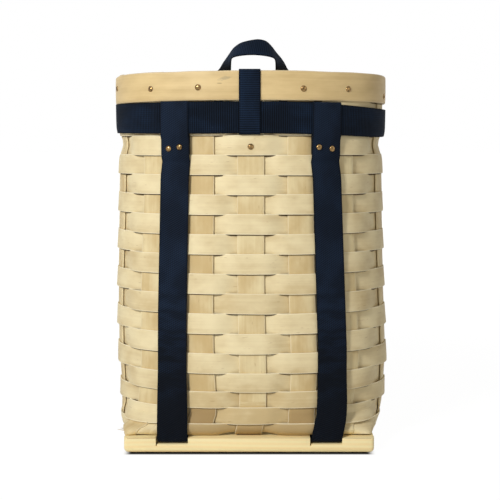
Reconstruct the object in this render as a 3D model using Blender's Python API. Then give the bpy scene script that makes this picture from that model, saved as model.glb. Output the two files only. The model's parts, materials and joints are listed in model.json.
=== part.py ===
"""A woven splint pack basket: splints that cross under the floor and rise as uprights, weavers laced
round them, two rim hoops, a base board with two grooves, and a webbing harness.

Metres, +Z up. The origin is the middle of the base board's underside. The side away from the wearer
faces -Y, and the wearer's back goes against the +Y side.
"""

import math
from functools import lru_cache

import bmesh
import bpy
import numpy as np
from mathutils import Matrix, Vector

# Clearances
touch_gap = 0.0003
weave_gap = 0.0005
cut_overrun = 0.004

# Base board
board_width = 0.317
board_depth = 0.269
board_thick = 0.019
board_corner = 0.005
board_round = 0.0055
groove_depth = 0.0064
groove_play = 0.0025

# Basket wall, by the uprights' middle surface: how far the foot stands out past the board's ends
# and in from its long edges, and how much further out than the foot the belly, waist and rim are
rim_top = 0.4863
foot_side_reach = 0.0160
foot_front_step = 0.0045
belly_height = 0.120
belly_side_swell = 0.0060
belly_front_swell = 0.0085
waist_height = 0.360
waist_side_swell = 0.0035
waist_front_swell = 0.0070
rim_side_swell = 0.0055
rim_front_swell = 0.0060
foot_bend = 0.014

# How square the outline is at the same four heights: 2 is an ellipse
foot_squareness = 5.0
belly_squareness = 2.5
waist_squareness = 2.3
rim_squareness = 2.4

# Splints and weavers
upright_count = 16
upright_width = 0.034
upright_thick = 0.0018
weaver_thick = 0.0016
weaver_count = 18
narrow_weavers = 2
foot_weaver_width = 0.0132
narrow_weaver_width = 0.0220
top_weaver_width = 0.0190
foot_weaver_start = 0.0050
row_gap = 0.0006

# Rim hoops
hoop_height = 0.038
hoop_thick = 0.0045
hoop_joint = 0.0006

# Webbing
web_thick = 0.0018
belt_width = 0.040
belt_drop = 0.0019
belt_droop = 0.0090
fold_corner = 0.0006
seat_margin = 0.0010
strap_width = 0.037
strap_centre = 0.098
strap_rivet_drop = 0.0155
strap_rivet_spacing = 0.0150
strap_end_drop = 0.0270
strap_turn = 0.0030
strap_inset = 0.0010
centre_strap_width = 0.0265
centre_strap_hem = 0.026
inner_flat = 0.0006
centre_rivet_drop = 0.0169
free_height = 0.060

# Shoulder straps, rectangular rings and sliding buckles
ring_height = 0.205
ring_reach = 0.085
ring_wire = 0.0040
ring_inside = 0.0150
ring_corner = 0.0035
ring_play = 0.0020
strap_hem = 0.028
tail_length = 0.125
tail_converge = 0.022
top_pull = 0.075
ring_pull = 0.070
slide_drop = 0.060
slide_length = 0.030
slide_bar = 0.0050
slide_bar_thick = 0.0018
slide_rail = 0.0040
slide_shoulder = 0.0003
slide_play = 0.0006

# Grab handle
handle_width = 0.037
handle_foot_spacing = 0.100
handle_rise = 0.0635
handle_offset = 0.004
handle_lean = math.radians(38)
handle_hinge_rise = 0.0035
handle_square_rise = 0.0008
handle_foot_gap = 0.0011
handle_twist_share = 0.46

# Brass rivets and base nails
head_radius = 0.0034
head_rise = 0.0018
shank_radius = 0.0014
clinch_radius = 0.0026
clinch_thick = 0.0007
nail_depth = 0.012
nail_point = 0.003

# Facet counts
outline_steps = 240
rivet_sides = 8
bend_steps = 3
curve_steps = 12

full_turn = 2 * math.pi
up = Vector((0, 0, 1))
ahead = Vector((0, 1, 0))
sideways = Vector((1, 0, 0))

# Sizes that follow from those above
floor_weave = (upright_thick + touch_gap) / 2
floor_middle = board_thick + touch_gap + upright_thick / 2 + floor_weave
wall_stand = (upright_thick + weaver_thick) / 2 + weave_gap
weave_reach = wall_stand + weaver_thick / 2
web_first = weave_reach + touch_gap + web_thick / 2
web_step = web_thick + touch_gap
web_second = web_first + web_step
web_third = web_second + web_step
hoop_offset = upright_thick / 2 + touch_gap + hoop_thick / 2
hoop_face = hoop_offset + hoop_thick / 2
rim_low = rim_top - hoop_height
bend_run = foot_bend * math.pi / 2
belt_high = rim_low - belt_drop
belt_low = belt_high - belt_width
centre_rivet_height = belt_low - centre_rivet_drop
loop_first = web_first + clinch_thick + touch_gap
loop_second = loop_first + web_step
loop_third = loop_second + web_step
wrap = ring_wire / 2 + touch_gap + web_thick / 2
groove_width = strap_width + groove_play
groove_floor = board_thick - groove_depth
strap_floor = groove_floor + touch_gap + web_thick / 2
entry_depth = board_depth / 2 - strap_inset - web_thick / 2
foot_side = board_width / 2 + foot_side_reach
foot_front = board_depth / 2 - foot_front_step
stations = (
    (floor_middle, foot_side, foot_front, foot_squareness),
    (belly_height, foot_side + belly_side_swell, foot_front + belly_front_swell, belly_squareness),
    (waist_height, foot_side + waist_side_swell, foot_front + waist_front_swell, waist_squareness),
    (rim_top, foot_side + rim_side_swell, foot_front + rim_front_swell, rim_squareness),
)


def finish_of(name, colour, roughness, metallic=0.0):
    """A plain material of one colour."""
    material = bpy.data.materials.new(name)
    material.use_nodes = True
    shader = material.node_tree.nodes["Principled BSDF"]
    shader.inputs["Base Color"].default_value = (*colour, 1)
    shader.inputs["Roughness"].default_value = roughness
    shader.inputs["Metallic"].default_value = metallic
    material.diffuse_color = (*colour, 1)
    return material


def add_object(name, mesh, material):
    part = bpy.data.objects.new(name, mesh)
    bpy.context.scene.collection.objects.link(part)
    mesh.materials.append(material)
    return part


def slab(name, outer, inner, material, closed=False):
    """A sheet with thickness between two grids of points, rows by columns. A closed one joins its last
    column to its first."""
    outer = np.asarray(outer, float)
    inner = np.asarray(inner, float)
    rows, columns, _ = outer.shape
    shape = bmesh.new()
    faces_out = [[shape.verts.new(p) for p in line] for line in outer]
    faces_in = [[shape.verts.new(p) for p in line] for line in inner]
    last = columns if closed else columns - 1
    for c in range(last):
        d = (c + 1) % columns
        for r in range(rows - 1):
            for side in (faces_out, faces_in):
                shape.faces.new((side[r][c], side[r][d], side[r + 1][d]))
                shape.faces.new((side[r][c], side[r + 1][d], side[r + 1][c]))
        shape.faces.new((faces_out[0][c], faces_in[0][c], faces_in[0][d], faces_out[0][d]))
        shape.faces.new((faces_out[-1][c], faces_out[-1][d], faces_in[-1][d], faces_in[-1][c]))
    if not closed:
        for c in (0, columns - 1):
            edge = [line[c] for line in faces_out] + [line[c] for line in reversed(faces_in)]
            shape.faces.new(edge)
    bmesh.ops.recalc_face_normals(shape, faces=shape.faces)
    mesh = bpy.data.meshes.new(name)
    shape.to_mesh(mesh)
    shape.free()
    return add_object(name, mesh, material)


def turned(name, profile, sides, place, axis, material):
    """A round piece from a profile of (distance along the axis, radius) pairs whose ends lie on the axis."""
    shape = bmesh.new()
    line = [shape.verts.new((radius, 0, along)) for along, radius in profile]
    edges = [shape.edges.new(pair) for pair in zip(line, line[1:])]
    bmesh.ops.spin(shape, geom=line + edges, axis=up, cent=Vector(), steps=sides, angle=full_turn)
    bmesh.ops.remove_doubles(shape, verts=shape.verts, dist=shank_radius / 100)
    bmesh.ops.recalc_face_normals(shape, faces=shape.faces)
    shape.transform(Matrix.Translation(place) @ axis.to_track_quat("Z", "Y").to_matrix().to_4x4())
    mesh = bpy.data.meshes.new(name)
    shape.to_mesh(mesh)
    shape.free()
    mesh.shade_smooth()
    mesh.set_sharp_from_angle(angle=math.radians(40))
    return add_object(name, mesh, material)


def cut_away(part, cutter):
    """Subtracts a hidden cutter from a part."""
    cutter.hide_render = True
    cutter.display_type = "WIRE"
    cut = part.modifiers.new("cut", "BOOLEAN")
    cut.operation = "DIFFERENCE"
    cut.solver = "EXACT"
    cut.object = cutter


def drill(parts, place, axis, front, back):
    """Drills a clearance hole for a shank through each part, from front to back along the axis."""
    radius = shank_radius + touch_gap
    profile = ((-back, 0), (-back, radius), (front, radius), (front, 0))
    cutter = turned("hole_cutter", profile, rivet_sides, place, axis, brass)
    for part in parts:
        cut_away(part, cutter)


def ease(share):
    """0 to 1 with a level start and end."""
    share = min(1.0, max(0.0, share))
    return share * share * (3 - 2 * share)


def sizes_at(height):
    """Half width, half depth and squareness of the wall at a height."""
    for (low, *below), (high, *above) in zip(stations, stations[1:]):
        if height <= high or high == stations[-1][0]:
            share = ease((height - low) / (high - low))
            return [b + (a - b) * share for b, a in zip(below, above)]


def profile_at(run):
    """Height, inset and slope angle of the wall's section at a run measured from where the floor bends up.
    The bend is a few flat facets."""
    if run < bend_run:
        angles = [math.pi / 2 * step / bend_steps for step in range(bend_steps + 1)]
        heights = [floor_middle + foot_bend * (1 - math.cos(angle)) for angle in angles]
        insets = [foot_bend * (1 - math.sin(angle)) for angle in angles]
        angle = run / foot_bend
        return float(np.interp(angle, angles, heights)), float(np.interp(angle, angles, insets)), angle
    return floor_middle + foot_bend + run - bend_run, 0.0, math.pi / 2


def run_at(height):
    """The run at a height above the bend."""
    return height - floor_middle - foot_bend + bend_run


@lru_cache(maxsize=None)
def quarter(run):
    """Points and lengths of a quarter of the outline, from the front middle to the side."""
    height, inset, _ = profile_at(run)
    half_width, half_depth, squareness = sizes_at(height)
    angles = np.linspace(0, math.pi / 2, outline_steps + 1)
    x = (half_width - inset) * np.sin(angles) ** (2 / squareness)
    y = -(half_depth - inset) * np.cos(angles).clip(0) ** (2 / squareness)
    lengths = np.concatenate([[0], np.cumsum(np.hypot(np.diff(x), np.diff(y)))])
    return x, y, lengths


def perimeter(run):
    return 4 * quarter(run)[2][-1]


def outline_at(turn, run):
    """The outline's point and outward normal at a share of a full turn from the front middle towards +X."""
    x, y, lengths = quarter(run)
    turn = turn % 1
    fold = turn % 0.5
    near = min(fold, 0.5 - fold) * 4
    step = 1 / outline_steps
    ends = [np.interp(s * lengths[-1], lengths, line) for line in (x, y) for s in (near - step, near + step)]
    along_x, along_y = ends[1] - ends[0], ends[3] - ends[2]
    size = math.hypot(along_x, along_y)
    normal_x, normal_y = along_y / size, -along_x / size
    if near < step:
        normal_x, normal_y = 0.0, -1.0
    if near > 1 - step:
        normal_x, normal_y = 1.0, 0.0
    side = 1 if turn <= 0.5 else -1
    back = 1 if 0.25 < turn < 0.75 else -1
    point_x = np.interp(near * lengths[-1], lengths, x)
    point_y = np.interp(near * lengths[-1], lengths, y)
    return (side * point_x, -back * point_y), (side * normal_x, -back * normal_y)


def wall_point(turn, run, offset):
    """A point that far outside the uprights' middle surface."""
    height, _, angle = profile_at(run)
    (x, y), (normal_x, normal_y) = outline_at(turn, run)
    level = offset * math.sin(angle)
    return Vector((x + normal_x * level, y + normal_y * level, height - offset * math.cos(angle)))


def turn_at_side(distance, height):
    """The turn of the front wall's point that lies this far to +X."""
    x, _, lengths = quarter(run_at(height))
    return float(np.interp(distance, x, lengths / lengths[-1])) / 4


def upright_edges(index, run):
    """Turns of both edges of one upright."""
    half = upright_width / 2 / perimeter(run)
    middle = index / upright_count
    return middle - half, middle + half


def ring_turns(run):
    """Turn and upright index for every column of a ring: both edges of each upright, then the gap after it,
    where the index is None."""
    columns = []
    for index in range(upright_count):
        left, right = upright_edges(index, run)
        gap = (index + 0.5) / upright_count
        columns += [(left, index), (right, index), (gap, None)]
    return columns


def weaver_side(row, index):
    """1 where a weaver passes outside an upright, -1 where it passes inside, 0 between two uprights."""
    if index is None:
        return 0
    return 1 if (row + index) % 2 else -1


def bend_stations():
    return [bend_run * step / bend_steps for step in range(bend_steps + 1)]


def weaver_runs():
    """The lower and upper run of each weaver: the foot one, the narrow ones, the rest, and the top one."""
    top = run_at(rim_low)
    lows = [foot_weaver_start, foot_weaver_start + foot_weaver_width]
    lows += [lows[-1] + narrow_weaver_width * (row + 1) for row in range(narrow_weavers)]
    full_rows = weaver_count - narrow_weavers - 2
    pitch = (top - top_weaver_width - lows[-1]) / full_rows
    lows += [lows[-1] + pitch * (row + 1) for row in range(full_rows)]
    return [(low, high - row_gap) for low, high in zip(lows, lows[1:] + [top])]


def make_weaver(row, low, high):
    runs = [low] + [s for s in bend_stations() if low + row_gap < s < high - row_gap] + [high]
    outer = []
    inner = []
    for run in runs:
        columns = [(turn, weaver_side(row, index) * wall_stand) for turn, index in ring_turns(run)]
        outer.append([wall_point(turn, run, offset + weaver_thick / 2) for turn, offset in columns])
        inner.append([wall_point(turn, run, offset - weaver_thick / 2) for turn, offset in columns])
    return slab(f"weaver_{row + 1:02d}", outer, inner, splint_wood, closed=True)


def make_hoop(name, offset, joint_turn):
    """A rim hoop that follows the uprights at an offset, open at its joint by a hair."""
    levels = [run_at(rim_low), run_at(rim_top)]
    outer = []
    inner = []
    for run in levels:
        slit = hoop_joint / 2 / perimeter(run)
        turns = sorted((turn - joint_turn) % 1 for turn, _ in ring_turns(run))
        turns = [slit] + [turn for turn in turns if slit < turn < 1 - slit] + [1 - slit]
        outer.append([wall_point(turn + joint_turn, run, offset + hoop_thick / 2) for turn in turns])
        inner.append([wall_point(turn + joint_turn, run, offset - hoop_thick / 2) for turn in turns])
    return slab(name, outer, inner, rim_wood)


def upright_edge_points(index, run):
    """Outer and inner points of an upright's two edges at a run."""
    left, right = upright_edges(index, run)
    outer = [wall_point(turn, run, upright_thick / 2) for turn in (left, right)]
    inner = [wall_point(turn, run, -upright_thick / 2) for turn in (left, right)]
    return outer, inner


def floor_middle_of(index):
    """Middle of an upright where it meets the floor, in plan."""
    (x, y), _ = outline_at(index / upright_count, 0)
    return x, y


front_to_back = ((14, 10), (15, 9), (0, 8), (1, 7), (2, 6))
side_to_side = ((3, 13), (4, 12), (5, 11))


def floor_stretch(pair, crossed, lengthwise, sign):
    """Columns of a splint's straight stretch under the floor: over and under the splints that it crosses."""
    across = sideways if lengthwise else ahead
    along = ahead if lengthwise else sideways
    x, y = floor_middle_of(pair[0])
    fixed = x if lengthwise else y
    heading = -1 if (y if lengthwise else x) > 0 else 1
    places = []
    for number, other in enumerate(crossed):
        cross_x, cross_y = floor_middle_of(other[0])
        middle = cross_y if lengthwise else cross_x
        over = sign * (1 if number % 2 == 0 else -1)
        places += [(middle + side * upright_width / 2, over * floor_weave) for side in (-1, 1)]
    columns = []
    for place, lift in sorted(places, key=lambda item: item[0] * heading):
        middle = along * place + across * fixed + up * (floor_middle + lift)
        columns.append((middle, across, up * upright_thick / 2))
    return columns


def wall_levels():
    """Runs at which the uprights have a column: the bend, each weaver up to the belly, every second weaver
    above it, and the top."""
    lows = [low for low, _ in weaver_runs()]
    below = [low for low in lows if bend_run + row_gap < low < run_at(belly_height)]
    above = [low for low in lows if low >= run_at(belly_height)][::2]
    return bend_stations() + below + above + [run_at(rim_top - row_gap)]


def make_splint(name, pair, crossed, lengthwise, sign):
    """One splint: down one wall, under the floor and up the far wall."""
    levels = wall_levels()
    first, last = pair
    outer = []
    inner = []
    for run in reversed(levels):
        points_out, points_in = upright_edge_points(first, run)
        outer.append(points_out[::-1])
        inner.append(points_in[::-1])
    toward = outer[-1][1] - outer[-1][0]
    for middle, across, thick in floor_stretch(pair, crossed, lengthwise, sign):
        side = across * (upright_width / 2 * (1 if across.dot(toward) > 0 else -1))
        outer.append([middle - side - thick, middle + side - thick])
        inner.append([middle - side + thick, middle + side + thick])
    for run in levels:
        points_out, points_in = upright_edge_points(last, run)
        outer.append(points_out)
        inner.append(points_in)
    return slab(name, np.swapaxes(outer, 0, 1), np.swapaxes(inner, 0, 1), splint_wood)


def web_strip(name, path, width, material, mirrored=False):
    """A strip of webbing along a path of (middle point, direction across) pairs, mitred at its bends."""
    points = [Vector(p) for p, _ in path]
    left_out = []
    right_out = []
    left_in = []
    right_in = []
    for number, (point, (_, across)) in enumerate(zip(points, path)):
        before = points[max(number - 1, 0)]
        after = points[min(number + 1, len(points) - 1)]
        came = (point - before).normalized() if number else (after - point).normalized()
        goes = (after - point).normalized() if number < len(points) - 1 else came
        along = (came + goes).normalized()
        across = (across - along * across.dot(along)).normalized()
        normal = across.cross(along)
        half = normal * (web_thick / 2 / max(0.5, along.dot(came)))
        side = across * width / 2
        left_out.append(point - side + half)
        right_out.append(point + side + half)
        left_in.append(point - side - half)
        right_in.append(point + side - half)
    outer = np.array([left_out, right_out])
    inner = np.array([left_in, right_in])
    if mirrored:
        outer[..., 0] *= -1
        inner[..., 0] *= -1
    return slab(name, outer, inner, material)


def arc(middle, start, finish, radius, away, forward, steps=bend_steps):
    """Points round a bend: away and forward are its two axes, and the angles are in radians."""
    return [
        middle + (away * math.cos(a) + forward * math.sin(a)) * radius
        for a in (start + (finish - start) * step / steps for step in range(steps + 1))
    ]


def fold(level, above, start, finish):
    """Levels and offsets of a strap folded over an edge, or under it, from one offset to another."""
    down = fold_corner if above else -fold_corner
    aside = math.copysign(fold_corner, finish - start)
    return [(level - down, start), (level, start + aside), (level, finish - aside), (level - down, finish)]


def belt_offset(turn):
    """How far the belt's middle lies outside the uprights' middle surface: it rides over the loops at the
    front and back, and lies close at the sides."""
    room = abs(math.cos(turn * full_turn)) * 2
    return web_first + web_step * min(1.0, room)


def belt_lowered(turn):
    """How far the belt sags below its place at the front and back."""
    return belt_droop * math.sin(turn * full_turn) ** 2


def wall_frame(turn, height, offset):
    """A point off the wall, and the horizontal direction along the wall there."""
    run = run_at(height)
    _, (normal_x, normal_y) = outline_at(turn, run)
    return wall_point(turn, run, offset), Vector((-normal_y, normal_x, 0))


def rider_turns():
    """Turn and width of every strap that the belt crosses, and the belt's offset there."""
    turn = turn_at_side(strap_centre, belt_low)
    riders = [(place, strap_width, loop_second) for place in (turn, 0.5 - turn, 0.5 + turn, 1 - turn)]
    riders.append((0.0, centre_strap_width, web_second))
    return riders + [(handle_turn(side), handle_width, web_second) for side in (-1, 1)]


def make_belt():
    """The belt: flat across each strap, and bent along the wall's outline between them."""
    riders = rider_turns()
    size = perimeter(run_at(belt_high))
    lines = []
    for edge in (belt_low, belt_high):
        columns = []
        for middle, width, offset in riders:
            half = width / 2 + seat_margin
            point, along = wall_frame(middle, edge - belt_lowered(middle), offset)
            normal = along.cross(up)
            for side in (-half, half):
                columns.append((middle + side / size, point + along * side, normal))
        for turn, _ in ring_turns(run_at(belt_high)):
            clear = [(abs((turn - middle + 0.5) % 1 - 0.5), width) for middle, width, _ in riders]
            if all(gap * size > width / 2 + 4 * seat_margin for gap, width in clear):
                point, along = wall_frame(turn, edge - belt_lowered(turn), belt_offset(turn))
                columns.append((turn, point, along.cross(up)))
        lines.append(sorted(columns, key=lambda column: column[0] % 1))
    outer = [[point + normal * web_thick / 2 for _, point, normal in line] for line in lines]
    inner = [[point - normal * web_thick / 2 for _, point, normal in line] for line in lines]
    return slab("belt", outer, inner, webbing, closed=True)


def loop_and_fall(turn):
    """A strap's path from its hidden end up behind the belt, over it, and down past the rivets."""
    high = belt_high - belt_lowered(turn) + touch_gap + web_thick / 2
    low = belt_low - belt_lowered(turn) - web_step
    end = belt_low - strap_end_drop
    levels = [(end, loop_first)] + fold(high, True, loop_first, loop_third) + [
        (low, loop_third),
        (low - 2 * web_step, loop_second),
        (end - web_step, loop_second),
        (end - 4 * web_step, web_first),
    ]
    return [wall_frame(turn, height, offset) for height, offset in levels]


def settle(across, share):
    """Turns a strap's across direction from the wall's to straight sideways."""
    return across.lerp(sideways, ease(share)).normalized()


def lower_line():
    """The inner layer of the lower strap: where it leaves the base board, its upward direction, its outward
    normal, and its length to the ring."""
    foot = Vector((strap_centre, entry_depth, strap_floor + strap_turn))
    wall_back = wall_point(0.5 - turn_at_side(strap_centre, ring_height), run_at(ring_height), 0)
    meet = Vector((strap_centre, wall_back.y + ring_reach, ring_height))
    direction = (meet - foot).normalized()
    return foot, direction, sideways.cross(direction) * -1, (meet - foot).length


def ring_middle():
    foot, direction, outward, length = lower_line()
    return foot + direction * (length + (ring_inside + ring_wire) / 2) + outward * wrap


def front_path():
    """The main strap from the belt to the groove in the base board."""
    turn = turn_at_side(strap_centre, belt_low)
    path = loop_and_fall(turn)
    heights = np.linspace(belt_low - strap_end_drop - 8 * web_step, free_height, curve_steps)
    path += [wall_frame(turn_at_side(strap_centre, height), height, web_first) for height in heights]
    _, across = path[-1]
    hang = Vector((strap_centre, -entry_depth, strap_floor + strap_turn))
    start = path[-1][0]
    for share in (0.33, 0.66, 0.9):
        path.append((start.lerp(hang, share), settle(across, share / 0.9)))
    return path


def main_strap_path():
    """The whole main strap: front, groove, lower shoulder strap, round the ring and down to its tail."""
    foot, direction, outward, length = lower_line()
    path = front_path()
    around = Vector((strap_centre, -entry_depth + strap_turn, strap_floor + strap_turn))
    path += [(p, sideways) for p in arc(around, 0, math.pi / 2, strap_turn, -ahead, -up)]
    lean = math.acos(direction.dot(up))
    around = foot - ahead * strap_turn
    path += [(p, sideways) for p in arc(around, 0, math.pi / 2 - lean, strap_turn, -up, ahead)]
    bar = foot + direction * length + outward * wrap
    path += [(p, sideways) for p in arc(bar, 0, math.pi, wrap, -outward, direction, 2 * bend_steps)]
    for down in (tail_converge, tail_length / 2, tail_length):
        path.append((foot + direction * (length - down) + outward * web_step, sideways))
    return path


def shoulder_strap_path():
    """The shoulder strap from the belt's back to the ring, with its hem sewn back on itself."""
    _, direction, outward, _ = lower_line()
    turn = 0.5 - turn_at_side(strap_centre, belt_low)
    path = [(p, -across) for p, across in loop_and_fall(turn)]
    start, across = path[-1]
    bar = ring_middle() + direction * (ring_inside + ring_wire) / 2
    meet = bar + outward * wrap
    finish = meet + direction * strap_hem
    first = start - up * top_pull
    second = finish + direction * ring_pull
    for step in range(1, curve_steps + 1):
        s = step / curve_steps
        r = 1 - s
        p = start * r**3 + first * (3 * r * r * s) + second * (3 * r * s * s) + finish * s**3
        path.append((p, settle(across, s * 2)))
    path.append((meet, sideways))
    for p in arc(bar, 0, -math.pi, wrap, outward, direction, 2 * bend_steps)[1:]:
        path.append((p, sideways))
    path.append((bar - outward * wrap + direction * strap_hem * 0.2, sideways))
    inner_end = finish - outward * web_step - direction * web_step
    path.append((inner_end, sideways))
    return path


def centre_strap_path():
    """From the rivet inside the wall, over the rim, down the front, and under the belt."""
    inside = -web_first
    face = hoop_face + touch_gap + web_thick / 2
    inner_face = -face - inner_flat
    levels = [
        (centre_rivet_height - strap_rivet_drop, inside),
        (rim_low - 2 * web_step, inside),
        (rim_low - touch_gap, inner_face),
    ]
    levels += fold(rim_top + touch_gap + web_thick / 2, True, inner_face, face)
    levels += [(rim_low + web_thick, face), (belt_high + touch_gap, web_third)]
    levels += fold(belt_low - touch_gap - web_thick / 2, False, web_third, web_first)
    levels.append((belt_low + centre_strap_hem, web_first))
    return [wall_frame(0, height, offset) for height, offset in levels]


def make_ring(name, mirrored):
    """A rectangular wire ring."""
    _, direction, _, _ = lower_line()
    ring = ring_middle()
    half_wide = (strap_width + ring_wire) / 2 + ring_play
    half_high = (ring_inside + ring_wire) / 2
    corners = []
    for number, (x, z) in enumerate(((1, 1), (-1, 1), (-1, -1), (1, -1))):
        middle = sideways * (x * (half_wide - ring_corner)) + direction * (z * (half_high - ring_corner))
        start = number * math.pi / 2
        corners += arc(middle, start, start + math.pi / 2, ring_corner, sideways, direction)
    curve = bpy.data.curves.new(name, "CURVE")
    curve.dimensions = "3D"
    curve.bevel_depth = ring_wire / 2
    curve.bevel_resolution = 1
    line = curve.splines.new("POLY")
    line.points.add(len(corners) - 1)
    side = -1 if mirrored else 1
    for slot, point in zip(line.points, corners):
        place = point + ring
        slot.co = (place.x * side, place.y, place.z, 1)
    line.use_cyclic_u = True
    part = bpy.data.objects.new(name, curve)
    bpy.context.scene.collection.objects.link(part)
    curve.materials.append(steel)
    return part


def box_mesh(name, low, high, frame):
    shape = bmesh.new()
    bmesh.ops.create_cube(shape, size=1)
    for vert in shape.verts:
        vert.co = Vector(a + (b - a) * (c + 0.5) for a, b, c in zip(low, high, vert.co))
    shape.transform(frame)
    bmesh.ops.recalc_face_normals(shape, faces=shape.faces)
    mesh = bpy.data.meshes.new(name)
    shape.to_mesh(mesh)
    shape.free()
    return mesh


def make_slide(name, mirrored):
    """A sliding buckle: two side rails, an upper and a lower bar outside both layers of strap, and a middle
    bar behind them."""
    foot, direction, outward, length = lower_line()
    side = -1 if mirrored else 1
    frame = Matrix((sideways, direction, outward)).transposed().to_4x4()
    frame.translation = foot + direction * (length - slide_drop)
    frame = Matrix.Diagonal((side, 1, 1, 1)) @ frame
    inside = strap_width / 2 + touch_gap
    outside = inside + slide_rail
    reach = inside + slide_rail / 2
    back = -web_thick / 2 - slide_play - slide_bar_thick
    front = web_step + web_thick / 2 + slide_play + slide_bar_thick
    half = slide_length / 2
    edge = half - slide_shoulder
    body = add_object(name, box_mesh(name, (inside, -half, back), (outside, half, front), frame), steel)
    bars = [
        ((-reach, edge - slide_bar, front - slide_bar_thick), (reach, edge, front - slide_shoulder)),
        ((-reach, -edge, front - slide_bar_thick), (reach, slide_bar - edge, front - slide_shoulder)),
        ((-reach, -slide_bar / 2, back + slide_shoulder), (reach, slide_bar / 2, back + slide_bar_thick)),
        ((-outside, -half, back), (-inside, half, front)),
    ]
    for low, high in bars:
        bar = add_object(f"{name}_bar", box_mesh(name, low, high, frame), steel)
        bar.hide_render = True
        bar.display_type = "WIRE"
        join = body.modifiers.new("join", "BOOLEAN")
        join.operation = "UNION"
        join.solver = "EXACT"
        join.object = bar
    return body


# Shares of the handle's half span and rise, chosen by hand: the crown sits a little to one side
handle_arch_shares = (
    (-1.0, 0.0),
    (-1.0, 0.07),
    (-0.97, 0.18),
    (-0.91, 0.30),
    (-0.84, 0.43),
    (-0.76, 0.58),
    (-0.66, 0.75),
    (-0.52, 0.88),
    (-0.30, 0.96),
    (-0.02, 1.0),
    (0.26, 0.99),
    (0.48, 0.91),
    (0.62, 0.76),
    (0.73, 0.58),
    (0.82, 0.43),
    (0.90, 0.30),
    (0.97, 0.18),
    (1.0, 0.07),
    (1.0, 0.0),
)


def handle_turn(side):
    """Turn of a handle leg's middle on the back of the rim."""
    x = handle_offset + side * handle_foot_spacing / 2
    face = hoop_face + touch_gap + web_thick / 2
    reach = abs(x)
    for _ in range(4):
        turn = 0.5 - turn_at_side(reach, rim_top)
        reach += abs(x) - wall_point(turn, run_at(rim_top), face).x
    return turn if x > 0 else 1 - turn


def hinge_depth():
    """How far back the handle's hinge line lies: at the hoop's face, where the inner leg is."""
    face = hoop_face + touch_gap + web_thick / 2
    return max(wall_point(handle_turn(side), run_at(rim_top), face).y for side in (-1, 1))


def make_handle():
    """The loop above the hinge line: it twists a quarter turn up each leg and leans in over the mouth."""
    hinge = Vector((handle_offset, hinge_depth(), rim_top + handle_hinge_rise))
    rising = (up * math.cos(handle_lean) - ahead * math.sin(handle_lean)).normalized()
    flat = sideways.cross(rising)
    path = []
    for wide, high in handle_arch_shares:
        middle = hinge + sideways * (wide * handle_foot_spacing / 2) + rising * (high * handle_rise)
        twist = ease(high / handle_twist_share) * math.pi / 2
        side = 1 if wide < 0 else -1
        level = sideways * math.cos(twist)
        across = level * side + flat * math.sin(twist)
        path.append((middle, across))
    for end in (0, -1):
        middle, across = path[end]
        path[end] = (middle + rising * handle_foot_gap, across)
    return web_strip("handle", path, handle_width, webbing)


def make_handle_tab(name, side):
    """The fixed end of a leg: down the hoop's outer face, in front of the belt, and round its lower edge."""
    turn = handle_turn(side)
    face = hoop_face + touch_gap + web_thick / 2
    low = belt_low - belt_lowered(turn)
    levels = [(rim_top + handle_square_rise, face), (rim_low + web_thick, face)]
    levels.append((belt_high - belt_lowered(turn) + touch_gap, web_third))
    levels += fold(low - touch_gap - web_thick / 2, False, web_third, web_first)
    levels.append((low + centre_strap_hem, web_first))
    x = handle_offset + side * handle_foot_spacing / 2
    top = Vector((x, hinge_depth(), rim_top + handle_hinge_rise - touch_gap))
    path = [(top, -sideways)] + [wall_frame(turn, height, offset) for height, offset in levels]
    return web_strip(name, path, handle_width, webbing)


def rivet(name, place, axis, grip):
    """A domed brass rivet: head outside, shank through the pieces, clinched end inside. The place is on the
    outer face, and the axis points out of it."""
    foot = -grip - touch_gap
    seat = touch_gap
    profile = (
        (seat + head_rise, 0),
        (seat + head_rise * 0.7, head_radius * 0.7),
        (seat, head_radius),
        (seat, shank_radius),
        (foot, shank_radius),
        (foot, clinch_radius),
        (foot - clinch_thick, clinch_radius * 0.85),
        (foot - clinch_thick, 0),
    )
    return turned(name, profile, rivet_sides, place, axis, brass)


def chord_place(index, height, offset):
    """Middle of an upright's flat face at a height, offset outwards, and its outward normal."""
    left, right = (wall_point(turn, run_at(height), offset) for turn in upright_edges(index, run_at(height)))
    along = (right - left).normalized()
    return (left + right) / 2, along.cross(up)


def make_rim_rivets(hoops, splints):
    names = {14: "rim_rivet_1", 15: "rim_rivet_2", 1: "rim_rivet_3", 2: "rim_rivet_4"}
    height = (rim_low + rim_top) / 2
    grip = 2 * hoop_face
    for index, name in names.items():
        place, normal = chord_place(index, height, hoop_face)
        rivet(name, place, normal, grip)
        drill([*hoops, splints[index]], place, normal, hoop_face, grip + hoop_face)


def make_strap_rivets(name, strap, back, side):
    """Two rivets through both layers of a strap just below the belt."""
    turn = turn_at_side(strap_centre, belt_low)
    turn = 0.5 - turn if back else turn
    height = belt_low - strap_rivet_drop
    face = loop_second + web_thick / 2
    grip = web_step + web_thick
    place, along = wall_frame(turn, height, face)
    normal = along.cross(up)
    for number, shift in enumerate((-1, 1)):
        spot = place + along * (shift * strap_rivet_spacing / 2)
        spot = Vector((spot.x * side, spot.y, spot.z))
        out = Vector((normal.x * side, normal.y, 0))
        rivet(f"{name}_{number + 1}", spot, out, grip)
        drill([strap], spot, out, head_rise, grip + head_rise)


def make_centre_rivet(weavers, splint, strap):
    place, normal = chord_place(0, centre_rivet_height, weave_reach)
    grip = weave_reach + web_first + web_thick / 2
    rivet("centre_rivet", place, normal, grip)
    row = next(n for n, (low, high) in enumerate(weaver_runs()) if low < run_at(centre_rivet_height) < high)
    drill([weavers[row], splint, strap], place, normal, weave_reach, grip + weave_reach)


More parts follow.
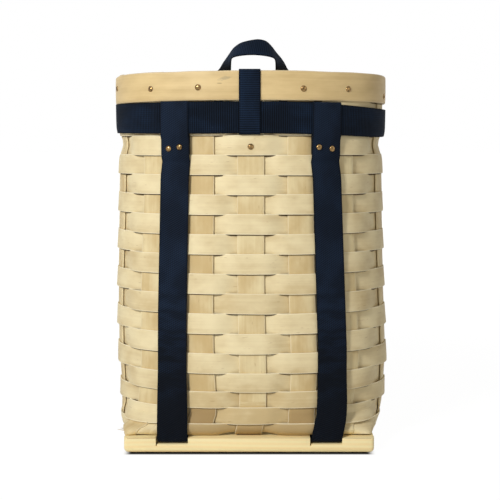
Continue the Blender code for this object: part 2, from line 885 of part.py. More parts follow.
def make_base_board():
    """The base board, with its ends rounded under and a groove for each strap."""
    shape = bmesh.new()
    bmesh.ops.create_cube(shape, size=1)
    bmesh.ops.scale(shape, vec=(board_width, board_depth, board_thick), verts=shape.verts)
    bmesh.ops.translate(shape, vec=up * board_thick / 2, verts=shape.verts)
    upright = [e for e in shape.edges if abs(e.verts[0].co.z - e.verts[1].co.z) > board_thick / 2]
    bmesh.ops.bevel(shape, geom=upright, offset=board_corner, segments=3, affect="EDGES", profile=0.5)
    low = [
        e
        for e in shape.edges
        if max(v.co.z for v in e.verts) < board_thick / 2
        and min(abs(v.co.x) for v in e.verts) > board_width / 2 - board_corner * 0.1
    ]
    bmesh.ops.bevel(shape, geom=low, offset=board_round, segments=3, affect="EDGES", profile=0.5)
    bmesh.ops.recalc_face_normals(shape, faces=shape.faces)
    mesh = bpy.data.meshes.new("base_board")
    shape.to_mesh(mesh)
    shape.free()
    board = add_object("base_board", mesh, board_wood)
    for side in (-1, 1):
        shape = bmesh.new()
        bmesh.ops.create_cube(shape, size=1)
        size = (groove_width, board_depth + 2 * cut_overrun, groove_depth + cut_overrun)
        bmesh.ops.scale(shape, vec=size, verts=shape.verts)
        middle = Vector((side * strap_centre, 0, groove_floor + (groove_depth + cut_overrun) / 2))
        bmesh.ops.translate(shape, vec=middle, verts=shape.verts)
        mesh = bpy.data.meshes.new("groove_cutter")
        shape.to_mesh(mesh)
        shape.free()
        cut_away(board, add_object("groove_cutter", mesh, board_wood))
    return board


def make_base_nails(board, splints):
    """Four nails from inside the basket, through two crossing splints and into the board."""
    number = 0
    for lengthwise in (1, 15):
        for crosswise in (3, 5):
            x, _ = floor_middle_of(lengthwise)
            _, y = floor_middle_of(crosswise)
            top = floor_middle + floor_weave + upright_thick / 2
            number += 1
            reach = top - board_thick + nail_depth
            profile = (
                (touch_gap + head_rise / 2, 0),
                (touch_gap + head_rise / 2, head_radius * 0.8),
                (touch_gap, head_radius),
                (touch_gap, shank_radius),
                (-reach + nail_point, shank_radius),
                (-reach, 0),
            )
            place = Vector((x, y, top))
            turned(f"base_nail_{number}", profile, rivet_sides, place, up, brass)
            pierced = [board, splints[lengthwise], splints[crosswise]]
            drill(pierced, place, up, head_rise, reach + touch_gap)


for old in list(bpy.data.objects):
    bpy.data.objects.remove(old, do_unlink=True)

splint_wood = finish_of("splint_wood", (0.74, 0.60, 0.37), 0.6)
rim_wood = finish_of("rim_wood", (0.70, 0.53, 0.30), 0.55)
board_wood = finish_of("board_wood", (0.87, 0.68, 0.38), 0.55)
webbing = finish_of("webbing", (0.014, 0.020, 0.045), 0.85)
brass = finish_of("brass", (0.72, 0.47, 0.20), 0.3, 1.0)
steel = finish_of("plated_steel", (0.55, 0.45, 0.25), 0.3, 1.0)


def main():
    board = make_base_board()
    weavers = [make_weaver(row, low, high) for row, (low, high) in enumerate(weaver_runs())]
    splints = {}
    for number, pair in enumerate(front_to_back):
        sign = 1 if number % 2 else -1
        splint = make_splint(f"long_splint_{number + 1}", pair, side_to_side, True, sign)
        splints.update({pair[0]: splint, pair[1]: splint})
    for number, pair in enumerate(side_to_side):
        sign = 1 if number % 2 == 0 else -1
        splint = make_splint(f"cross_splint_{number + 1}", pair, front_to_back, False, sign)
        splints.update({pair[0]: splint, pair[1]: splint})
    hoops = [make_hoop("outer_hoop", hoop_offset, 0.0), make_hoop("inner_hoop", -hoop_offset, 0.5)]
    make_belt()
    centre = web_strip("centre_strap", centre_strap_path(), centre_strap_width, webbing)
    for name, mirrored, side in (("right", False, 1), ("left", True, -1)):
        strap = web_strip(f"main_strap_{name}", main_strap_path(), strap_width, webbing, mirrored)
        shoulder = web_strip(f"shoulder_strap_{name}", shoulder_strap_path(), strap_width, webbing, mirrored)
        make_ring(f"strap_ring_{name}", mirrored)
        make_slide(f"sliding_buckle_{name}", mirrored)
        make_strap_rivets(f"front_rivet_{name}", strap, False, side)
        make_strap_rivets(f"back_rivet_{name}", shoulder, True, side)
        make_handle_tab(f"handle_tab_{name}", side)
    make_handle()
    make_rim_rivets(hoops, splints)
    make_centre_rivet(weavers, splints[0], centre)
    make_base_nails(board, splints)


main()
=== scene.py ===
"""Looks of a woven splint pack basket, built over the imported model.

Metres, +Z up, front towards -Y. Strips of wood and webbing start as a grid whose points are laid along the
wall or along a path, and get their thickness and rounded edges from modifiers. Every strip has a UV map in
metres, along and across, and carries how far each point is from the strip's long edges.
"""

import json
import math

import bpy
import numpy as np
from mathutils import Matrix, Vector


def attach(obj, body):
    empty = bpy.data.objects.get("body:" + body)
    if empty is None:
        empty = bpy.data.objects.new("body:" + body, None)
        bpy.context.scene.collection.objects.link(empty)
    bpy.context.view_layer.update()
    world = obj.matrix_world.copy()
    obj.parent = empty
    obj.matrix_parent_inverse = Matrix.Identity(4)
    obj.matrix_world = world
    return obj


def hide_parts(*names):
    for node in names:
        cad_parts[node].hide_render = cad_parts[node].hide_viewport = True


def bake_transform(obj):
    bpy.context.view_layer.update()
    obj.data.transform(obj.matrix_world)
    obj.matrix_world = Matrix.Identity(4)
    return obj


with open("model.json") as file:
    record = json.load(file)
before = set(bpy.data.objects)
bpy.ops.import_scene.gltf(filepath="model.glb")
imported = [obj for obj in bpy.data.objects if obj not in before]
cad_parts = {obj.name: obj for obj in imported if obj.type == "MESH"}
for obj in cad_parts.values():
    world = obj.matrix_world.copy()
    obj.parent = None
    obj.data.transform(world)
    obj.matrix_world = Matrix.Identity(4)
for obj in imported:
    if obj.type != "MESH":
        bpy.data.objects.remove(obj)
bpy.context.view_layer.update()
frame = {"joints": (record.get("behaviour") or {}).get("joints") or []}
joints = {joint["name"]: joint for joint in frame["joints"]}
bpy.ops.object.select_all(action="DESELECT")

up = np.array((0.0, 0.0, 1.0))
ahead = np.array((0.0, 1.0, 0.0))
sideways = np.array((1.0, 0.0, 0.0))
full_turn = 2 * math.pi
sides = ((-1, "left"), (1, "right"))


# Camera and light

eye = (0.0, -1.637, 0.3955)
lens_millimetres = 85.04
frame_shift = -0.216


def make_camera():
    """A level camera whose frame is shifted down, as the photo shows the basket."""
    data = bpy.data.cameras.new("camera")
    data.sensor_width = 36
    data.lens = lens_millimetres
    data.shift_y = frame_shift
    camera = bpy.data.objects.new("camera", data)
    camera.location = eye
    camera.rotation_euler = (math.pi / 2, 0, 0)
    bpy.context.scene.collection.objects.link(camera)
    bpy.context.scene.camera = camera
    bpy.context.scene.view_settings.view_transform = "Standard"


def make_lamp(name, place, aim, size, power, colour=(1, 1, 1)):
    """A round soft lamp, turned to a point of the object."""
    data = bpy.data.lights.new(name, "AREA")
    data.shape = "DISK"
    data.size = size
    data.energy = power
    data.color = colour
    lamp = bpy.data.objects.new(name, data)
    lamp.location = place
    lamp.rotation_euler = (Vector(aim) - Vector(place)).to_track_quat("-Z", "Y").to_euler()
    bpy.context.scene.collection.objects.link(lamp)


# Shader maths: a Value wraps one socket, and plain arithmetic on Values adds Math nodes

class Value:
    """A number or colour in a material: one socket of one node."""

    def __init__(self, finish, socket):
        self.finish = finish
        self.socket = socket

    def math(self, operation, *others):
        values = {0: self}
        values.update({slot + 1: other for slot, other in enumerate(others)})
        return self.finish.node("ShaderNodeMath", {"operation": operation}, values)

    def __add__(self, other):
        return self.math("ADD", other)

    def __mul__(self, other):
        return self.math("MULTIPLY", other)

    def __sub__(self, other):
        return self.math("SUBTRACT", other)

    def __rsub__(self, other):
        return self * -1 + other

    __radd__ = __add__
    __rmul__ = __mul__

    def sine(self):
        return self.math("SINE")

    def absolute(self):
        return self.math("ABSOLUTE")

    def step(self, low, high, to_low=0.0, to_high=1.0):
        """Smoothly from to_low to to_high as the value goes from low to high."""
        settings = {"interpolation_type": "SMOOTHSTEP"}
        values = {0: self, 1: low, 2: high, 3: to_low, 4: to_high}
        return self.finish.node("ShaderNodeMapRange", settings, values)

    def output(self, name):
        """Another output of the same node."""
        return Value(self.finish, self.socket.node.outputs[name])


def srgb(red, green, blue):
    """A colour written as it looks on a screen, from 0 to 255, as the linear colour that a shader takes."""
    shares = [part / 255 for part in (red, green, blue)]
    linear = [s / 12.92 if s <= 0.04045 else ((s + 0.055) / 1.055) ** 2.4 for s in shares]
    return (*linear, 1.0)


class Finish:
    """A material under construction."""

    def __init__(self, name, owner=None):
        self.material = owner or bpy.data.materials.new(name)
        self.material.use_nodes = True
        self.tree = self.material.node_tree
        self.tree.nodes.clear()

    def node(self, kind, settings=None, values=None, output=0):
        """Any node: its settings first, then the values or links of its sockets."""
        node = self.tree.nodes.new(kind)
        for key, setting in (settings or {}).items():
            setattr(node, key, setting)
        for key, value in (values or {}).items():
            if isinstance(value, Value):
                self.tree.links.new(value.socket, node.inputs[key])
            else:
                node.inputs[key].default_value = value
        return Value(self, node.outputs[output]) if node.outputs else node

    def mix(self, share, first, second):
        """The second colour over the first, by a share from 0 to 1."""
        settings = {"data_type": "RGBA", "clamp_factor": True}
        return self.node("ShaderNodeMix", settings, {0: share, 6: first, 7: second}, 2)

    def along_across(self):
        """The strip's own directions in metres."""
        uv = self.node("ShaderNodeTexCoord", output="UV")
        parts = self.node("ShaderNodeSeparateXYZ", values={0: uv})
        return parts, parts.output("Y")

    def place(self):
        """Where a point is on the object: X, Y and Z in metres."""
        spot = self.node("ShaderNodeTexCoord", output="Object")
        parts = self.node("ShaderNodeSeparateXYZ", values={0: spot})
        return parts, parts.output("Y"), parts.output("Z")

    def trait(self, name):
        """A number that the mesh carries at each point."""
        return self.node("ShaderNodeAttribute", {"attribute_name": name}, output="Fac")

    def point(self, x, y, z):
        return self.node("ShaderNodeCombineXYZ", values={0: x, 1: y, 2: z})

    def noise(self, place, scale=1.0, detail=2.0, roughness=0.5):
        values = {"Vector": place, "Scale": scale, "Detail": detail, "Roughness": roughness}
        return self.node("ShaderNodeTexNoise", {"noise_dimensions": "3D"}, values)

    def bump(self, height, strength, distance):
        values = {"Height": height, "Strength": strength, "Distance": distance}
        return self.node("ShaderNodeBump", values=values)

    def seen_white(self):
        """1 for what the camera sees, straight or in a shiny or clear surface, and 0 for what only lights."""
        path = self.node("ShaderNodeLightPath", output="Is Camera Ray")
        shiny = path.math("MAXIMUM", path.output("Is Glossy Ray"))
        return shiny.math("MAXIMUM", path.output("Is Transmission Ray"))

    def finish(self, **values):
        """The surface shader, from its socket names with underscores for spaces."""
        named = {key.replace("_", " "): value for key, value in values.items()}
        shader = self.node("ShaderNodeBsdfPrincipled", values=named)
        self.node("ShaderNodeOutputMaterial", values={"Surface": shader})
        return self.material


def splint_finish(name, pale, deep, painted_edge_highlight):
    """Thin ash splint: fine fibres along the strip, soft broad bands, a few specks, and a painted highlight
    along its edges. A painted shadow lies where it comes out from below the edge of the weaver above it."""
    make = Finish(name)
    along, across = make.along_across()
    tone = make.trait("tone")
    edge = make.trait("edge")
    fibres = make.noise(make.point(along * 20, across * 1500, tone * 40), detail=3.0, roughness=0.6)
    bands = make.noise(make.point(along * 5, across * 260, tone * 40 + 9), detail=3.0)
    clouds = make.noise(make.point(along * 26, across * 40, tone * 40 + 21), detail=3.0)
    specks = make.noise(make.point(along * 90, across * 420, tone * 40 + 33), detail=1.0)
    # The tone is a piece's own tone plus painted shade low at the front and back
    shade = fibres * 0.20 + bands * 0.26 + clouds * 1.05 + tone * 0.55 - 0.52
    colour = make.mix(shade.step(0.15, 0.95), pale, deep)
    # Tones beyond the pieces' own ones come from painted shade, and turn to a darker brown
    colour = make.mix(tone.step(1.05, 1.95, 0.0, 0.8), colour, srgb(162, 133, 88))
    colour = make.mix(specks.step(0.70, 0.80, 0.0, 0.35), colour, srgb(176, 140, 90))
    # Painted highlight along the strip's edges
    colour = make.mix(edge.step(0.0004, 0.0013, painted_edge_highlight, 0.0), colour, srgb(252, 241, 208))
    below = make.trait("below").math("FRACT")
    # Painted shadow: dark brown just below the edge of the weaver above
    painted_shadow = below.step(0.086, 0.096) * below.step(0.120, 0.144, 0.95, 0.0)
    colour = make.mix(painted_shadow, colour, srgb(58, 32, 6))
    fuzz = fibres * 0.6 + bands * 0.4
    return make.finish(
        Base_Color=colour,
        Roughness=fibres * 0.12 + 0.50 + painted_shadow * 0.4,
        Specular_IOR_Level=0.26,
        Normal=make.bump(fuzz, 0.22, 0.0006),
    )


def rim_finish(name):
    """The thicker rim wood: long grain lines, a grey knot smudge and a short dark dash beside it."""
    make = Finish(name)
    along, across = make.along_across()
    tone = make.trait("tone")
    sway = make.noise(make.point(along * 4, across * 20, tone * 30), detail=1.0)
    grain_place = make.point(along * 5, across * 420 + sway * 3, tone * 30 + 5)
    grain = make.noise(grain_place, detail=4.0, roughness=0.6)
    broad = make.noise(make.point(along * 3, across * 70 + sway * 2, tone * 30 + 15), detail=2.0)
    cloud = make.noise(make.point(along * 22, across * 60, tone * 30 + 25), detail=3.0)
    wood = (grain * 0.22 + broad * 0.40 + cloud * 0.60 - 0.1).step(0.25, 0.85)
    colour = make.mix(wood, srgb(233, 206, 151), srgb(202, 173, 119))
    right, deep, height = make.place()
    wander = make.noise(make.point(right * 160, height * 300, 2.0), detail=3.0)
    knot_x, knot_z = -0.0320, 0.4762
    knot_across = (right - knot_x) * 105 + (wander - 0.5) * 1.6
    knot_down = (height - knot_z - (right - knot_x) * 0.20) * 330 + (wander - 0.5) * 1.6
    knot = (knot_across * knot_across + knot_down * knot_down).step(0.0, 1.0, 0.46, 0.0)
    dash_x, dash_z = -0.0387, 0.4700
    dash_along = (right - dash_x) * 250
    dash_down = (height - dash_z) * 1700 + (wander - 0.5) * 1.0
    dash = (dash_along * dash_along + dash_down * dash_down).step(0.4, 1.0, 0.6, 0.0)
    front = deep.step(-0.12, -0.10, 1.0, 0.0)
    colour = make.mix(knot * front, colour, srgb(150, 138, 112))
    colour = make.mix(dash * front, colour, srgb(120, 84, 48))
    edge = make.trait("edge")
    # Painted highlight along the band's edges
    colour = make.mix(edge.step(0.0006, 0.0022, 0.35, 0.0), colour, srgb(248, 234, 200))
    return make.finish(
        Base_Color=colour,
        Roughness=grain * 0.15 + 0.42,
        Specular_IOR_Level=0.38,
        Normal=make.bump(grain, 0.18, 0.0008),
    )


def board_finish(name):
    """Planed pine: growth rings as warm lines along it, and a dark line along the front's upper edge."""
    make = Finish(name)
    right, deep, high = make.place()
    sway = make.noise(make.point(right * 3.2, deep * 9, high * 22), detail=2.0)
    rings = ((high * 1.0 + deep * 0.34) * 1050 + sway * 11 + right * 1.5).sine() * 0.5 + 0.5
    fibres = make.noise(make.point(right * 16, deep * 900, high * 1100), detail=2.0)
    colour = make.mix(rings * 0.50 + fibres * 0.20, srgb(255, 240, 187), srgb(255, 225, 162))
    lower = high.step(0.002, 0.012, 1.0, 0.0)
    colour = make.mix(lower * rings * 0.15, colour, srgb(232, 184, 138))
    level = high.step(0.0180, 0.0184) * high.step(0.0186, 0.0189, 1.0, 0.0)
    arris = level * deep.step(-0.1345, -0.1342, 1.0, 0.0)
    colour = make.mix(arris * right.absolute().step(0.05, 0.14, 0.35, 0.75), colour, srgb(150, 112, 66))
    return make.finish(
        Base_Color=colour,
        Roughness=fibres * 0.15 + 0.45,
        Specular_IOR_Level=0.35,
        Normal=make.bump(rings * 0.4 + fibres * 0.6, 0.12, 0.0007),
    )


def webbing_finish(name, tint, dark, slant):
    """Heavy woven webbing: cross ribs with a diagonal step from one warp cord to the next."""
    make = Finish(name)
    along, across = make.along_across()
    edge = make.trait("edge")
    tone = make.trait("tone")
    cord_pitch, rib_pitch = 0.0026, 0.0028
    cords = (across * (full_turn / cord_pitch)).sine() * 0.5 + 0.5
    ribs = (along * (full_turn / rib_pitch) + across * slant).sine() * 0.5 + 0.5
    lint = make.noise(make.point(along * 900, across * 900, tone * 20), detail=2.0)
    worn = make.noise(make.point(along * 16, across * 30, tone * 20 + 3), detail=2.0)
    weave = ribs * 0.65 + cords * worn.step(0.40, 0.62) * 0.35
    # The tone also carries painted shade, such as the darker foot of the front straps and the handle's legs
    light = weave * 0.50 + lint * 0.26 + worn * 0.36 + tone * 0.36 - 0.36
    colour = make.mix(light.step(0.05, 0.95), dark, tint)
    # Painted shade: darker along both edges
    colour = make.mix(edge.step(0.0004, 0.0024, 0.65, 0.0), colour, dark)
    return make.finish(
        Base_Color=colour,
        Roughness=0.92 - ribs * 0.14,
        Specular_IOR_Level=0.10,
        Normal=make.bump(weave + lint * 0.2, 0.55, 0.0006),
    )


def metal_finish(name, bright, dull, roughness):
    """Brass or plated steel with a cloudy patina and fine marks."""
    make = Finish(name)
    place = make.node("ShaderNodeTexCoord", output="Object")
    patina = make.noise(place, scale=420.0, detail=3.0)
    marks = make.noise(place, scale=2600.0, detail=2.0)
    colour = make.mix(patina.step(0.35, 0.75), bright, dull)
    return make.finish(
        Base_Color=colour,
        Metallic=1.0,
        Roughness=patina * 0.16 + roughness,
        Normal=make.bump(marks, 0.10, 0.0003),
    )


def floor_finish(name):
    """White where the camera, or a shiny part, sees it, with the object's shadow kept. A painted contact
    shadow darkens what is seen of the floor right in front of the board and behind it, as the photo shows it."""
    make = Finish(name)
    seen = make.seen_white()
    white = make.node("ShaderNodeEmission", values={"Color": (1, 1, 1, 1), "Strength": 1.05})
    right, deep, high = make.place()
    spot = make.point(right, deep, high)
    away = make.node("ShaderNodeVectorMath", {"operation": "LENGTH"}, {0: spot}, output="Value")
    inside = (right - board_aside).absolute().step(0.1500, 0.1620, 1.0, 0.0)
    # Painted contact shadow along the board's front and back
    under = deep.absolute().step(0.1375, 0.1458, 1.0, 0.0) * inside * seen
    colour = make.mix(under, (0.86, 0.86, 0.86, 1), (0.01, 0.01, 0.012, 1))
    plain = make.node("ShaderNodeBsdfDiffuse", values={"Color": colour})
    shown = seen * away.step(0.4, 2.2, 0.93, 1.0) * (1 - under)
    both = make.node("ShaderNodeMixShader", values={0: shown, 1: plain, 2: white})
    make.node("ShaderNodeOutputMaterial", values={"Surface": both})
    return make.material


def make_world(strength):
    """Soft light from all round, and a white background."""
    world = bpy.data.worlds.new("studio")
    bpy.context.scene.world = world
    make = Finish("studio", world)
    soft = make.node("ShaderNodeBackground", values={0: (1.0, 0.97, 0.92, 1), 1: strength})
    white = make.node("ShaderNodeBackground", values={0: (1, 1, 1, 1), 1: 1.0})
    both = make.node("ShaderNodeMixShader", values={0: make.seen_white(), 1: soft, 2: white})
    make.node("ShaderNodeOutputWorld", values={"Surface": both})


basket_middle = (0, 0, 0.25)
make_camera()
make_world(0.23)
make_lamp("key", (-1.26, -2.13, 1.40), basket_middle, 0.50, 43.5)
make_lamp("fill", (1.9, -1.5, 0.9), basket_middle, 1.6, 3.4, (1.0, 0.95, 0.84))


# Sizes and heights, in metres
board_width, board_depth, board_thick = 0.319, 0.269, 0.019
board_aside = -0.0012
floor_middle = 0.02125
foot_bend = 0.014
bend_run = foot_bend * math.pi / 2
rim_low, rim_top = 0.4483, 0.4863
belt_low, belt_high = 0.4064, 0.4464
upright_count = 16
upright_width, upright_thick = 0.034, 0.0018
weaver_thick = 0.0016
hoop_thick = 0.0045
strap_width, centre_strap_width, handle_width = 0.0388, 0.0275, 0.037
web_thick = 0.0018

# How far outside the uprights' middle surface a weaver's middle swings, a hoop's middle lies, a hoop's outer
# face lies, and the first, second and third layer of webbing lie, also where a strap loops over the belt
wall_stand = 0.0022
hoop_offset, hoop_face = 0.00345, 0.0057
web_first, web_second, web_third = 0.0042, 0.0063, 0.0084
loop_first, loop_second, loop_third = 0.0052, 0.0073, 0.0094

# Where the straps and the handle's legs stand: the centre strap in turns, the others sideways
centre_turn = -0.0013
strap_centre = 0.098
handle_hinge = np.array(joints["handle_fold"]["pos_m"])
handle_reach = 0.050

# The wall's plan: height, half width, half depth, and squareness, which is 2 for an ellipse
stations = (
    (floor_middle, 0.1645, 0.1300, 12.0),
    (0.031, 0.1690, 0.1306, 4.8),
    (0.045, 0.1760, 0.1316, 2.8),
    (0.120, 0.1800, 0.1385, 2.6),
    (0.360, 0.1780, 0.1370, 2.3),
    (rim_top, 0.1795, 0.1360, 2.4),
)
foot_top = 0.04
outline_steps = 240


def ease(share):
    """Softly from 0 to 1 as the share goes from 0 to 1."""
    share = np.clip(share, 0, 1)
    return share * share * (3 - 2 * share)


def bell(value, middle, spread):
    """1 at the middle, and next to nothing two spreads away from it."""
    return np.exp(-(((value - middle) / spread) ** 2))


def from_front(turns):
    """Turns round the wall as -0.5 to 0.5 from the front middle, positive towards +X."""
    return (turns + 0.5) % 1 - 0.5


def off_front_or_back(turns):
    """How far round, in turns, from the middle of the front or of the back, whichever is nearer."""
    return np.abs((turns * 2 + 0.5) % 1 - 0.5) / 2


def path_lengths(points):
    """How far along a line of points each one lies."""
    return np.concatenate([[0], np.cumsum(np.linalg.norm(np.diff(points, axis=0), axis=1))])


def wave(place, seed, size=1.0):
    """A gentle, repeatable unevenness along a strip: place is in turns of its slowest swell."""
    total = 0
    for part in range(1, 5):
        lag = math.sin(seed * 12.9898 + part * 78.233) * 43758.5453 % 1
        total = total + np.sin((place * part + lag) * full_turn) / part
    return total * size / 2


def sizes_at(height):
    """The wall's half width, half depth and squareness: straight between the foot's heights, soft above."""
    for (low, *below), (high, *above) in zip(stations, stations[1:]):
        if height <= high or high == rim_top:
            share = (height - low) / (high - low)
            if low > foot_top:
                share = float(ease(share))
            return [b + (a - b) * share for b, a in zip(below, above)]


outlines = {}


def outline(run):
    """The wall's outline at a run up from the floor's bend: even turns from the front middle towards +X, the
    points and outward normals there, the way round, the height, and the slope."""
    key = round(run, 6)
    if key not in outlines:
        if run < bend_run:
            angle = run / foot_bend
            height = floor_middle + foot_bend * (1 - math.cos(angle))
            inset = foot_bend * (1 - math.sin(angle))
        else:
            angle = math.pi / 2
            height = floor_middle + foot_bend + run - bend_run
            inset = 0.0
        half_width, half_depth, squareness = sizes_at(height)
        angles = np.linspace(0, math.pi / 2, outline_steps + 1)
        x = half_width * np.sin(angles) ** (2 / squareness)
        y = -half_depth * np.cos(angles).clip(0) ** (2 / squareness)
        if inset:
            step_x, step_y = np.gradient(x), np.gradient(y)
            corner = np.clip(2 * np.abs(step_x * step_y) / (step_x**2 + step_y**2), 0, 1)
            tucked = inset * (1 - corner)
            x = x * (1 - tucked / half_width)
            y = y * (1 - tucked / half_depth)
        x = np.concatenate([x, x[-2::-1], -x[1:], -x[-2::-1]])
        y = np.concatenate([y, -y[-2::-1], -y[1:], y[-2::-1]])
        lengths = np.concatenate([[0], np.cumsum(np.hypot(np.diff(x), np.diff(y)))])
        turns = lengths / lengths[-1]
        even = np.linspace(0, 1, 4 * outline_steps + 1)
        x, y = np.interp(even, turns, x), np.interp(even, turns, y)
        along_x = np.roll(x[:-1], -1) - np.roll(x[:-1], 1)
        along_y = np.roll(y[:-1], -1) - np.roll(y[:-1], 1)
        size = np.hypot(along_x, along_y)
        normal_x, normal_y = along_y / size, -along_x / size
        normal_x, normal_y = np.append(normal_x, normal_x[0]), np.append(normal_y, normal_y[0])
        outlines[key] = (even, x, y, normal_x, normal_y, lengths[-1], height, angle)
    return outlines[key]


def run_at(height):
    """The run up the wall that reaches a height above the floor's bend."""
    return height - floor_middle - foot_bend + bend_run


def perimeter(run):
    """The way round the wall at a run."""
    return outline(run)[5]


def wall_points(turns, run, offsets):
    """Points that far outside the uprights' middle surface. The wall stands up to 3 mm to +X low down, but
    not at its very foot, and its sides are pinched under the belt."""
    even, x, y, normal_x, normal_y, _, height, angle = outline(run)
    turns = np.asarray(turns, float) % 1
    level = offsets * math.sin(angle)
    out_x, out_y = np.interp(turns, even, normal_x), np.interp(turns, even, normal_y)
    lean = 0.0009 + 0.0026 * bell(height, 0.080, 0.085) - 0.0052 * bell(height, 0.018, 0.020)
    at_sides = ease((np.abs(np.sin(turns * full_turn)) - 0.85) / 0.12)
    level = level - 0.0050 * bell(height, 0.393, 0.012) * at_sides
    points = [np.interp(turns, even, x) + out_x * level + lean, np.interp(turns, even, y) + out_y * level]
    points.append(np.broadcast_to(height - offsets * math.cos(angle), turns.shape))
    return np.stack(points, axis=-1)


def wall_frame(turn, height, offset):
    """A point off the wall, and the level direction along the wall there."""
    run = run_at(height)
    even, _, _, normal_x, normal_y, *_ = outline(run)
    point = wall_points([turn], run, offset)[0]
    return point, np.array((-np.interp(turn % 1, even, normal_y), np.interp(turn % 1, even, normal_x), 0.0))


def turn_at_side(distance, height, offset=0.0):
    """The turn of the front wall where a point at an offset lies this far to +X."""
    turns = np.linspace(-0.25, 0.25, 2 * outline_steps + 1)
    return float(np.interp(distance, wall_points(turns, run_at(height), offset)[:, 0], turns))


# How far round the wall, in turns, some uprights stand from their even places
upright_moves = {2: -0.0045, 3: 0.021, 13: -0.022, 14: -0.003}


def upright_turn(index, run):
    """The turn of an upright's middle. Round the squared foot, where the way is longer, the uprights keep
    their distances from the middle of their side, and draw in towards it a little."""
    turn = index / upright_count + upright_moves.get(index % upright_count, 0.0)
    middle = round(turn * 4) / 4
    drawn_in = 1 - 5.4 * (turn - middle) ** 2 * float(ease((0.110 - run) / 0.085))
    return middle + (turn - middle) * drawn_in * min(1.0, perimeter(run_at(0.120)) / perimeter(run))


def painted_foot_shade(run, turns):
    """How much painted shade darkens the front and back where the wall draws in above the board."""
    near_board = 0.80 * ease((0.052 - run) / 0.016) + 0.34 * ease((0.020 - run) / 0.01)
    return ease((0.115 - off_front_or_back(turns)) / 0.02) * near_board


def weaver_runs():
    """The run at the low and the high edge of each weaver: five rows at the foot, and even rows above."""
    foot_rows, even_rows = (0.0050, 0.0230, 0.0440, 0.0648, 0.0887), 13
    top_row_width, row_gap = 0.0190, 0.0006
    top = run_at(rim_low)
    lows = list(foot_rows)
    pitch = (top - top_row_width - lows[-1]) / even_rows
    lows += [lows[-1] + pitch * (row + 1) for row in range(even_rows)]
    return [(low, high - row_gap) for low, high in zip(lows, lows[1:] + [top])]


# Modelling

def box(middle, size):
    """A block, as the start of a piece or as what cuts one."""
    bpy.ops.mesh.primitive_cube_add(size=1, location=middle)
    block = bpy.context.object
    block.scale = size
    bpy.ops.object.transform_apply(location=True, scale=True)
    return block


def round_edges(piece, width, segments):
    """Rounds the sharp edges, and applies this and the modifiers before it."""
    bevel = piece.modifiers.new("edges", "BEVEL")
    bevel.width = width
    bevel.segments = segments
    bevel.limit_method = "ANGLE"
    bevel.angle_limit = math.radians(50)
    bpy.context.view_layer.objects.active = piece
    for modifier in list(piece.modifiers):
        bpy.ops.object.modifier_apply(modifier=modifier.name)


def face_outwards():
    """Turns the faces of the active piece outwards."""
    bpy.ops.object.mode_set(mode="EDIT")
    bpy.ops.mesh.select_all(action="SELECT")
    bpy.ops.mesh.normals_make_consistent(inside=False)
    bpy.ops.object.mode_set(mode="OBJECT")


def smooth(piece, degrees):
    """Smooth shading, with the edges that turn by more than this left sharp."""
    bpy.ops.object.select_all(action="DESELECT")
    piece.select_set(True)
    bpy.ops.object.shade_smooth_by_angle(angle=math.radians(degrees))


def dress(piece, material, body="basket", stands_for=()):
    """Gives a finished piece its material, its body and the CAD nodes that it stands for."""
    piece.data.materials.clear()
    piece.data.materials.append(material)
    if body:
        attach(piece, body)
    if stands_for:
        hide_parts(*stands_for)
    bpy.ops.object.select_all(action="DESELECT")


def sheet_of(name, points, tone, lengths=None, closed=False, below=0.5):
    """A grid laid over columns of points along a strip, each with its points across, and with the strip's
    own directions in metres. Tone and the trait "below" are one number, or one for each column or point."""
    columns, rows = points.shape[0] - 1, points.shape[1] - 1
    bpy.ops.mesh.primitive_grid_add(x_subdivisions=columns, y_subdivisions=rows, size=1, calc_uvs=True)
    sheet = bpy.context.object
    sheet.name = name
    mesh = sheet.data
    mesh.name = name
    places = np.empty(len(mesh.vertices) * 3)
    mesh.vertices.foreach_get("co", places)
    places = places.reshape(-1, 3)
    column = np.rint((places[:, 0] + 0.5) * columns).astype(int)
    row = np.rint((places[:, 1] + 0.5) * rows).astype(int)
    mesh.vertices.foreach_set("co", points[column, row].ravel())
    if lengths is None:
        lengths = path_lengths(points[:, rows // 2])
    steps = np.linalg.norm(np.diff(points, axis=1), axis=2)
    across = np.concatenate([np.zeros((columns + 1, 1)), np.cumsum(steps, axis=1)], axis=1)
    width = across[:, -1:]
    away = np.minimum(across, width - across)
    corner = np.empty(len(mesh.loops), int)
    mesh.loops.foreach_get("vertex_index", corner)
    flat = np.stack([lengths[column], (across - width / 2)[column, row]], axis=1)
    mesh.uv_layers.active.data.foreach_set("uv", flat[corner].ravel())
    for trait, held in (("edge", away), ("tone", tone), ("below", below)):
        held = np.asarray(held, float)
        held = np.broadcast_to(held[:, None] if held.ndim == 1 else held, away.shape)
        values = held[column, row]
        layer = mesh.attributes.new(trait, "FLOAT", "POINT")
        layer.data.foreach_set("value", values.astype(np.float32))
    if closed:
        bpy.ops.object.mode_set(mode="EDIT")
        bpy.ops.mesh.select_all(action="SELECT")
        bpy.ops.mesh.remove_doubles(threshold=0.00001)
        bpy.ops.object.mode_set(mode="OBJECT")
    return sheet


def thicken(sheet, thick, round_edge, segments=2):
    """Gives a sheet its thickness about its middle, with rounded edges."""
    solid = sheet.modifiers.new("thickness", "SOLIDIFY")
    solid.thickness = thick
    solid.offset = 0.0
    solid.use_even_offset = True
    round_edges(sheet, round_edge, segments)
    smooth(sheet, 40)
    return sheet


# Wall

# A strip carries a painted shadow right below the edge of the weaver that covers it. Its trait "below" is how
# far down a point lies from that edge, in lengths of two rows and from 0.1 on, and only its fraction counts.
painted_shadow_start = 0.1
two_rows = 0.0504
splint_edge = 0.0004
held_rows = (0, 16, 17)
weave_arch = 0.0010


